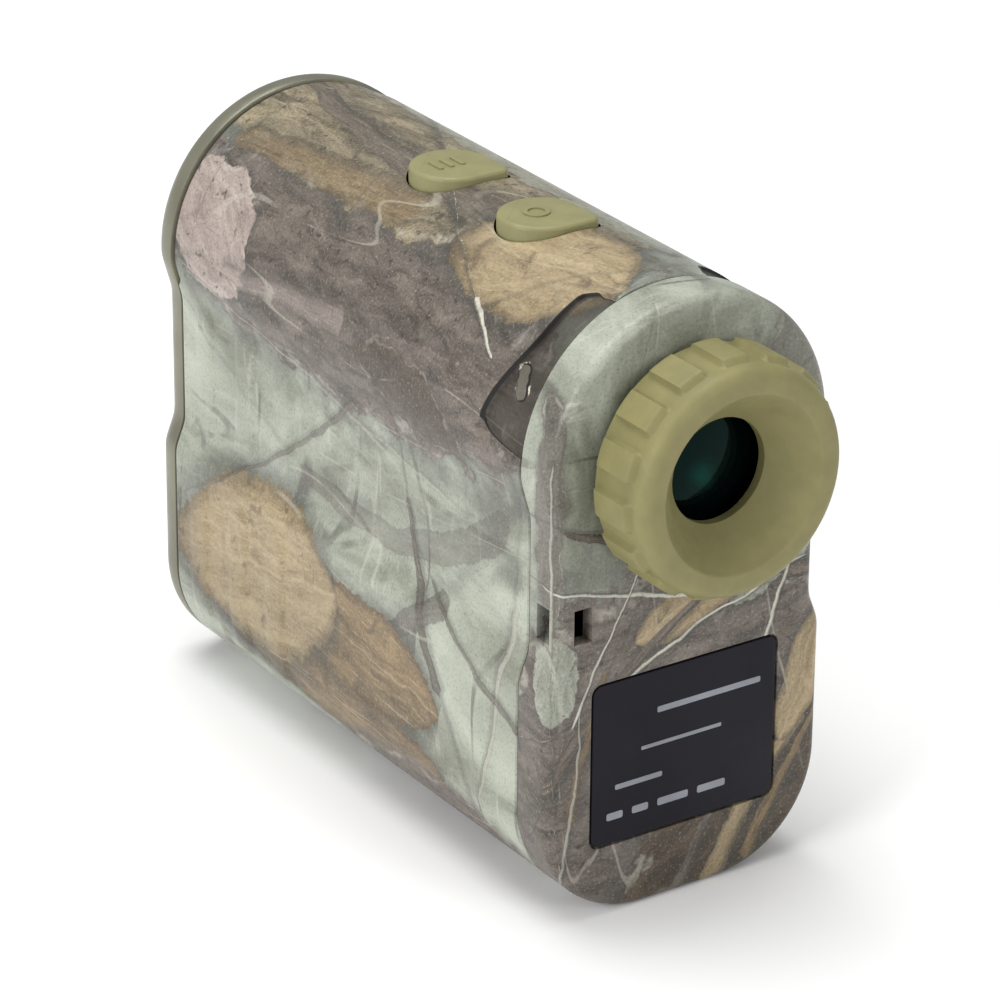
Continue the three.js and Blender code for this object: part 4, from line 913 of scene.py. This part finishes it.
rearFilm = {
    "tone": "sage",
    "layers": [
        ("blot", 0, 14, 10, 74, 66, "taupe"),
        ("blot", 16, 62, 100, 34, 9, "taupe", 0.0, 0.5),
        ("blot", -21, 56, 90, 34, 5, "taupe", 0.0, 0.7),
        ("blot", 10, 8, 30, 44, 22, "umber"),
        ("blot", -20, 34, 95, 12, 8, "sage", 0.0, 0.8),
        ("blot", 12, 43, 30, 16, 9, "sage", 0.0, 0.8),
        ("leaf", 2, 40, 20, 22, 7, "tan"),
        ("branch", 2, 45, 160, 46, 1.8, "stick", 1.0),
        ("branch", -10, 31, 42, 34, 2.2, "stick", 1.4),
        ("branch", -6, 42, 168, 34, 0.7, "twig", 2.0),
        ("branch", 4, 37, 20, 30, 0.6, "twig", 2.0),
        ("branch", -12, 37, 62, 22, 0.5, "twig", 1.0),
        ("branch", 14, 38, 70, 18, 0.7, "twig", 1.0),
        ("branch", -15, 24, 75, 22, 1.6, "brown", 1.2, 0.7),
        ("branch", 10, 10, 55, 26, 3.4, "tan", 0.8, 0.8),
        ("branch", 2, 6, 62, 22, 2.0, "taupe", 1.2, 0.8),
        ("branch", 15, 12, 60, 24, 2.0, "brown", 0.8, 0.8),
        ("leaf", 18, 26, 70, 20, 6, "tan"),
        ("branch", -17, 14, 84, 30, 0.6, "twig", 0.8, 0.6),
        ("branch", -20.5, 50, 90, 26, 0.8, "twig", 0.5, 0.6),
    ],
}

def makeRearCover():
    cover = sweepBody("rearCap", coverProfile(shellLow.y - seamGap, rearLow.y, rearPlan["plate"],
                                              rearPlan["edgeRadius"], rearPlan["edgeSegments"]))
    hole = addRod("hole", cellHigh.x + rearPlan["eyeGap"], (0, rearLow.y - past, barrelAxis),
                  (0, shellLow.y + past, barrelAxis), sides=128)
    cutWith(cover, hole)
    labelLow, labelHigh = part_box("label_plate")
    gap = rearPlan["seatGap"]
    seat = addCube("seat", (labelLow.x - gap, rearLow.y - past, labelLow.z - gap),
                   (labelHigh.x + gap, labelHigh.y + gap, labelHigh.z + gap))
    pick(seat, "EDGE", lambda e: runsAlong(e, 1))
    bevelPicked(rearPlan["seatCorner"], 8)
    cutWith(cover, seat)
    half, tall = rearPlan["windowWidth"] / 2, rearPlan["windowHeight"] / 2
    low, high = rearPlan["windowZ"] - tall, rearPlan["windowZ"] + tall
    rearX, sideX = rearPlan["rearWindowX"], rearPlan["sideWindowX"]
    rearWindow = addCube("window", (rearX - half, rearLow.y - past, low),
                         (rearX + half, rearLow.y + rearPlan["windowDepth"], high))
    sideY = shellLow.y - rearPlan["sideWindowY"]
    sideWindow = addCube("window", (sideX[0], sideY - half, low), (sideX[1], sideY + half, high))
    cutWith(cover, rearWindow, sideWindow)
    softenEdges(cover, 0.15 * mm, 2, 50)
    smooth(cover, 38)
    points = vertexArray(cover)
    depth = points[:, 1] - rearLow.y
    around = points[:, 0] * (1 + depth / body["barrelRadius"])
    upward = points[:, 2] + (points[:, 2] - rearPlan["filmMiddle"]) * depth / rearPlan["filmMiddle"]
    writeFilm(cover, np.stack([around, upward], 1))
    place(cover, "root", "camo_film", makeFilm("camoRear", rearFilm), "rear_cover")

makeRearCover()
print("rear cover made")

cupPlan = {
    "sides": 450, "edge": 1.7 * mm, "mouthEdge": 0.5 * mm, "mouthRadius": 11.2 * mm,
    "sightRadius": 6.75 * mm, "recess": 5.3 * mm, "diaphragm": 1.2 * mm, "radius": 14.7 * mm,
    "padCount": 15, "padHalf": 7.0, "padRise": 0.85 * mm, "padFrom": 2.7 * mm, "padTo": 9.1 * mm,
}

def makeEyecup():
    c = cupPlan
    base, end = cupHigh.y, cupLow.y
    outer, bore = c["radius"], cellHigh.x + 0.3 * mm
    profile = [(bore, base), (outer - 0.4 * mm, base), (outer, base - 0.4 * mm)]
    rows = 30
    low, high = base - 0.4 * mm, end + c["edge"]
    profile += [(outer, low + (high - low) * i / rows) for i in range(1, rows)]
    profile += arcPoints(outer - c["edge"], end + c["edge"], c["edge"], 0, -90, 10)
    profile += arcPoints(c["mouthRadius"] + c["mouthEdge"], end + c["mouthEdge"], c["mouthEdge"], 270, 225, 4)
    edge = c["mouthEdge"]
    slope = arcPoints(c["mouthRadius"] + edge, end + edge, edge, 225, 222, 1)[-1]
    floor, sight = end + c["recess"], c["sightRadius"]
    inward, deeper = sight + 0.3 * mm - slope[0], floor - 0.3 * mm - slope[1]
    profile += [slope]
    profile += [(slope[0] + inward * t, slope[1] + deeper * t) for t in (0.25, 0.5, 0.75, 1.0)]
    profile += [(sight, floor), (sight, floor + c["diaphragm"]), (bore, floor + c["diaphragm"]), (bore, base)]
    cup = turnProfile("eyecupRubber", profile, 0, barrelAxis, c["sides"])
    points = vertexArray(cup)
    dx, dz = points[:, 0], points[:, 2] - barrelAxis
    radius = np.hypot(dx, dz)
    angle = np.degrees(np.arctan2(dx, dz))
    pitch = 360 / c["padCount"]
    offCentre = np.abs((angle + pitch / 2) % pitch - pitch / 2)
    onPad = easeStep(offCentre, c["padHalf"] + 0.5, c["padHalf"] - 0.4)
    back = points[:, 1] - end
    onPad *= easeStep(back, c["padFrom"] - 0.5 * mm, c["padFrom"] + 0.3 * mm)
    onPad *= easeStep(back, c["padTo"] + 0.3 * mm, c["padTo"] - 0.3 * mm)
    onPad *= easeStep(radius, outer - 1.5 * mm, outer - 0.6 * mm)
    grown = (radius + onPad * c["padRise"]) / np.maximum(radius, tiny)
    points[:, 0] = dx * grown
    points[:, 2] = barrelAxis + dz * grown
    setVertices(cup, points)
    smooth(cup, 40)
    place(cup, "eyecup", "olive_rubber", finishes["olive"], "eyecup")

makeEyecup()
print("eyecup made")

def domedLens(name, node, rise, rearRise, finish, bodyName, slot, outward):
    low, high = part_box(node)
    radius = (high.x - low.x) / 2
    centre = (low + high) / 2
    crown, back = (high.y, low.y) if outward > 0 else (low.y, high.y)
    steps = 14
    front = [(radius * i / steps, crown - outward * rise * (i / steps) ** 2) for i in range(steps + 1)]
    rear = [(radius * i / steps, back + outward * rearRise * (i / steps) ** 2) for i in range(steps, -1, -1)]
    lens = turnProfile(name, front + rear, centre.x, centre.z, 96)
    smooth(lens, 40)
    place(lens, bodyName, slot, finishes[finish], node)

# dark glass with a painted green reflection round one place, standing in for the coating's reflection
def reflectionGlass(name, reflectionPlace, reach):
    dark = (0.001, 0.003, 0.003)
    material = newMaterial(name, dark, 0.04, Specular_IOR_Level=0.1, Specular_Tint=(0.3, 1.0, 0.8, 1))
    tree = material.node_tree
    where = stretch(tree, objectPlace(tree), (1.0, 0.0, 1.0))
    distance = tree.nodes.new("ShaderNodeVectorMath")
    distance.operation = "DISTANCE"
    wire(tree, where, distance.inputs[0])
    distance.inputs[1].default_value = (reflectionPlace.x, 0, reflectionPlace.z)
    share = calc(tree, "DIVIDE", distance.outputs["Value"], reach)
    wavy = calc(tree, "MULTIPLY_ADD", noise(tree, where, 500, 2), 0.3, share)
    # painted reflection: green mixed into the base colour, fading out from one place
    color = mixColor(tree, ease(tree, wavy, 0.6, 0.1), dark, (0.002, 0.035, 0.026))
    wire(tree, color, tree.nodes["Principled BSDF"].inputs["Base Color"])
    return material

def lensRing(name, node, lipRadius):
    low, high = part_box(node)
    centre = (low + high) / 2
    outer = (high.x - low.x) / 2
    edge = 0.35 * mm
    profile = arcPoints(outer - edge, high.y - edge, edge, 0, 90, 4)
    step = (outer - edge - lipRadius) / 3
    profile += [(outer - edge - step, high.y), (outer - edge - step * 1.2, high.y - 0.25 * mm),
                (lipRadius + step * 0.4, high.y - 0.25 * mm)]
    profile += arcPoints(lipRadius + edge, high.y - 0.25 * mm - edge, edge, 90, 180, 4)
    for i in range(4):
        deep = high.y - 0.9 * mm - i * 0.35 * mm
        profile += [(lipRadius, deep), (lipRadius + 0.15 * mm, deep - 0.12 * mm),
                    (lipRadius + 0.15 * mm, deep - 0.25 * mm)]
    profile += [(lipRadius, low.y), (outer, low.y), profile[0]]
    ring = turnProfile(name, profile, centre.x, centre.z, 128)
    smooth(ring, 30)
    place(ring, "root", "anodised_aluminium", finishes["anodised"], node)

lensRing("objectiveTrim", "objective_ring", 12.2 * mm)
lensRing("emitterTrim", "emitter_ring", 5.9 * mm)
domedLens("objectiveGlass", "objective_lens", 1.6 * mm, 0.8 * mm, "coated", "root", "coated_glass", 1)
domedLens("emitterGlass", "emitter_lens", 0.7 * mm, 0.3 * mm, "coated", "root", "coated_glass", 1)
finishes["eyePaintedReflection"] = reflectionGlass("eyePaintedReflection", Vector((-0.5 * mm, 0, barrelAxis - 1.5 * mm)), 6.5 * mm)
domedLens("eyeGlass", "eye_lens", 1.1 * mm, 0.9 * mm, "eyePaintedReflection", "eye_carrier", "coated_glass", -1)
print("optics made")

buttonPlan = {"edge": 0.55 * mm, "flangeHeight": 1 * mm, "flangeCorner": 2.4 * mm, "overlap": 0.2 * mm,
              "barRise": 0.22 * mm, "ringRise": 0.2 * mm, "sink": 0.3 * mm}

# a raised bar on a button, with round ends
def makeBar(spot, sizeX, sizeY):
    half = Vector((sizeX, sizeY, 0)) * mm / 2
    mark = addCube("mark", spot - half - Vector((0, 0, buttonPlan["sink"])),
                   spot + half + Vector((0, 0, buttonPlan["barRise"])))
    pick(mark, "EDGE", lambda e: runsAlong(e, 2))
    bevelPicked(min(half.x, half.y) * 0.95, 4)
    return mark

# a raised ring on a button
def makeRing(spot, outer, inner):
    rise, sink = buttonPlan["ringRise"], -buttonPlan["sink"]
    outer, inner = outer * mm, inner * mm
    profile = [(outer, sink), (outer, rise), (inner, rise), (inner, sink), (outer, sink)]
    mark = turnProfile("mark", profile, 0, 0, 40)
    workOn(mark)
    mark.rotation_euler = (math.pi / 2, 0, 0)
    mark.location = spot
    bpy.ops.object.transform_apply(location=True, rotation=True, scale=True)
    return mark

def makeButton(name, node, glyph):
    low, high = capBox(node)
    fullLow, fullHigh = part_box(node)
    flangeTop = fullLow.z + buttonPlan["flangeHeight"]
    cap = buttonBlock(name, Vector((low.x, low.y, flangeTop - buttonPlan["overlap"])), high, 0.0)
    pick(cap, "EDGE", lambda e: all(abs(v.co.z - high.z) < tiny for v in e.verts)
         and len({f.normal.z > 0.9 for f in e.link_faces}) == 2)
    bevelPicked(buttonPlan["edge"], 5)
    flange = buttonBlock("flange", fullLow, Vector((fullHigh.x, fullHigh.y, flangeTop)), 0.0,
                         buttonPlan["flangeCorner"])
    joinWith(cap, flange)
    centre = (low + high) / 2
    for makeMark, x, y, *sizes in glyph:
        joinWith(cap, makeMark(Vector((centre.x + x * mm, centre.y + y * mm, high.z)), *sizes))
    smooth(cap, 38)
    place(cap, node, "olive_button", finishes["button"], node)

makeButton("modeCap", "mode_button", [(makeBar, x, 0.3, 0.7, 3.0) for x in (-2.2, -0.6, 1.0)])
makeButton("powerCap", "power_button", [(makeRing, -0.5, 0.2, 1.7, 1.1)])
print("buttons made")

labelPlan = {
    "corner": 1.2 * mm, "edge": 0.12 * mm, "inkRise": 0.03 * mm,
    # each bar's place from the left and from the top, its width and height, in millimetres
    "bars": ((9.5, 5.0, 15.5, 0.8), (7.2, 9.8, 12.0, 0.5), (3.4, 14.0, 7.0, 0.7), (2.2, 17.7, 2.4, 1.0),
             (6.0, 17.7, 2.4, 1.0), (9.8, 17.7, 4.6, 1.0), (15.8, 17.7, 4.2, 1.0)),
}

def makeLabel():
    low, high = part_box("label_plate")
    plate = addCube("labelFace", low, high)
    pick(plate, "EDGE", lambda e: runsAlong(e, 1))
    bevelPicked(labelPlan["corner"], 8)
    pick(plate, "EDGE", lambda e: all(abs(v.co.y - low.y) < tiny for v in e.verts))
    bevelPicked(labelPlan["edge"], 3)
    smooth(plate, 30)
    place(plate, "root", "label_black", finishes["label"], "label_plate")
    front, back = low.y - labelPlan["inkRise"], low.y + 0.1 * mm
    left, top = low.x, high.z
    marks = None
    for x, down, width, height in labelPlan["bars"]:
        bar = addCube("bar", (left + x * mm, front, top - (down + height) * mm),
                      (left + (x + width) * mm, back, top - down * mm))
        pick(bar, "EDGE", lambda e: runsAlong(e, 1))
        bevelPicked(min(width, height) * 0.25 * mm, 3)
        if marks is None:
            marks = bar
            marks.name = "labelMarks"
        else:
            workOn(marks)
            bar.select_set(True)
            bpy.ops.object.join()
    place(marks, "root", "label_black", finishes["ink"])

makeLabel()
print("label made")

doorPlan = {
    "recess": 0.3 * mm, "swing": 2.85 * mm, "pinGap": 1.15 * mm, "nailHalf": 4 * mm, "nailDepth": 0.6 * mm,
    "ridges": 6, "ridgeFrom": 4 * mm, "ridgePitch": 1.7 * mm, "ridgeWidth": 0.8 * mm,
    "ridgeDepth": 0.4 * mm, "ridgeHalf": 5 * mm,
}

def makeDoor():
    low, high, pinY, pinZ, frontY = doorPlaces()
    recess, hinge = doorPlan["recess"], shellPlan["hingeHalf"]
    inside, top = recess + body["wall"], body["cornerRadius"]
    door = sweepBody("doorSkin", [(recess, low.y), (recess, pinY)])
    cutWith(door, sweepBody("room", [(inside, low.y - mm), (inside, pinY + mm)]))
    outline = addCube("outline", (low.x, low.y - mm, -mm), (high.x, frontY, top))
    cutWith(outline, addRod("swing", doorPlan["swing"], (low.x, pinY, pinZ), (high.x, pinY, pinZ), "X"))
    joinWith(outline, addCube("tongue", (-hinge, frontY - 2 * mm, -mm), (hinge, pinY + mm, top)))
    applyModifier(door, "BOOLEAN", object=outline, operation="INTERSECT", solver="EXACT")
    bpy.data.objects.remove(outline)
    joinWith(door, addRod("barrel", pinZ - recess, (-hinge, pinY, pinZ), (hinge, pinY, pinZ), "X"))
    cutWith(door, addRod("bore", doorPlan["pinGap"], (low.x, pinY, pinZ), (high.x, pinY, pinZ), "X", 32))
    half, side = doorPlan["ridgeWidth"] / 2, doorPlan["ridgeHalf"]
    grooveTop = recess + doorPlan["ridgeDepth"]
    for i in range(doorPlan["ridges"]):
        y = low.y + doorPlan["ridgeFrom"] + i * doorPlan["ridgePitch"]
        cutWith(door, addCube("groove", (-side, y - half, -mm), (side, y + half, grooveTop)))
    nail, nailTop = doorPlan["nailHalf"], recess + doorPlan["nailDepth"]
    cutWith(door, addCube("nail", (-nail, low.y - mm, -mm), (nail, low.y + 1.2 * mm, nailTop)))
    softenEdges(door, 0.1 * mm, 2, 50)
    smooth(door, 38)
    points = vertexArray(door)
    writeFilm(door, np.stack([halfGirth - np.abs(points[:, 0]), points[:, 1]], 1))
    place(door, "battery_door", "camo_film", makeFilm("camoDoor", doorFilm), "battery_door")

makeDoor()
print("door made")

screwPlan = {
    "dome": 0.45 * mm, "headHeight": 1.3 * mm, "shank": 0.95 * mm, "threadTop": 1.6 * mm,
    "threadRoot": 0.78 * mm, "threadPitch": 0.4 * mm, "tipLength": 1.2 * mm, "tip": 0.3 * mm,
    "crossLength": 2.2 * mm, "crossWidth": 0.42 * mm, "crossDepth": 0.8 * mm,
}

def makeScrew(number):
    p = screwPlan
    node = f"front_screw_{number}"
    low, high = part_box(node)
    centre = (low + high) / 2
    head = (high.x - low.x) / 2
    profile = [(0, high.y)] + [(head * t, high.y - p["dome"] * t * t) for t in (0.3, 0.55, 0.75, 0.9, 1)]
    profile += [(head, high.y - p["headHeight"]), (p["shank"], high.y - p["headHeight"])]
    y = high.y - p["threadTop"]
    while abs(y - low.y) > p["tipLength"]:
        profile += [(p["shank"], y), (p["threadRoot"], y - p["threadPitch"] / 2)]
        y -= p["threadPitch"]
    profile += [(p["tip"], low.y), (0, low.y)]
    screw = turnProfile(f"front_screwDetail{number}", profile, centre.x, centre.z, 32)
    halfLength, halfWidth = p["crossLength"] / 2, p["crossWidth"] / 2
    for halfX, halfZ in ((halfLength, halfWidth), (halfWidth, halfLength)):
        cross = addCube("cross", (centre.x - halfX, high.y - p["crossDepth"], centre.z - halfZ),
                        (centre.x + halfX, high.y + mm, centre.z + halfZ))
        cutWith(screw, cross)
    smooth(screw, 35)
    place(screw, "root", "steel", finishes["steel"], node)

for number in range(1, 5):
    makeScrew(number)
print("screws made")

studio = {"floorSize": 6.0, "floorTone": 0.92, "skyTone": 0.95, "skyStrength": 0.4}
# name, place, size and power
lights = [
    ("topBox", (-0.05, 0.15, 0.9), 0.7, 7.0),
    ("leftBox", (-0.9, -0.2, 0.45), 0.45, 5.5),
    ("rearBox", (0.35, -0.95, 0.4), 0.45, 2.6),
]
view = {"place": (-0.3143, -0.46642, 0.29664), "right": (0.831204, -0.555909, 0.008082),
        "up": (0.226622, 0.352052, 0.908131), "lens": 175.266, "sensor": 36}

deselectAll()
bpy.ops.mesh.primitive_plane_add(size=studio["floorSize"], location=(0, 0, 0))
floor = takeNew("studioFloor")
paper = plainFinish("floorPaper", (studio["floorTone"],) * 3, 0.85, scale=3, spread=0.01, bump=0.0)
floor.data.materials.append(paper)

world = bpy.data.worlds.new("studioSky")
bpy.context.scene.world = world
world.use_nodes = True
world.node_tree.nodes["Background"].inputs[0].default_value = (*(studio["skyTone"],) * 3, 1)
world.node_tree.nodes["Background"].inputs[1].default_value = studio["skyStrength"]

for name, spot, size, power in lights:
    deselectAll()
    bpy.ops.object.light_add(type="AREA", location=spot)
    lamp = bpy.context.object
    lamp.name = name
    lamp.data.size = size
    lamp.data.energy = power
    lamp.rotation_euler = (Vector((0, 0, 0.03)) - Vector(spot)).to_track_quat("-Z", "Y").to_euler()

cameraData = bpy.data.cameras.new("mainCamera")
camera = bpy.data.objects.new("mainCamera", cameraData)
bpy.context.scene.collection.objects.link(camera)
right, up = Vector(view["right"]), Vector(view["up"])
turned = Matrix((right, up, right.cross(up))).transposed().to_4x4()
camera.matrix_world = Matrix.Translation(view["place"]) @ turned
cameraData.lens = view["lens"]
cameraData.sensor_width = view["sensor"]
cameraData.clip_start = 0.01
bpy.context.scene.camera = camera
bpy.context.scene.view_settings.view_transform = "Standard"
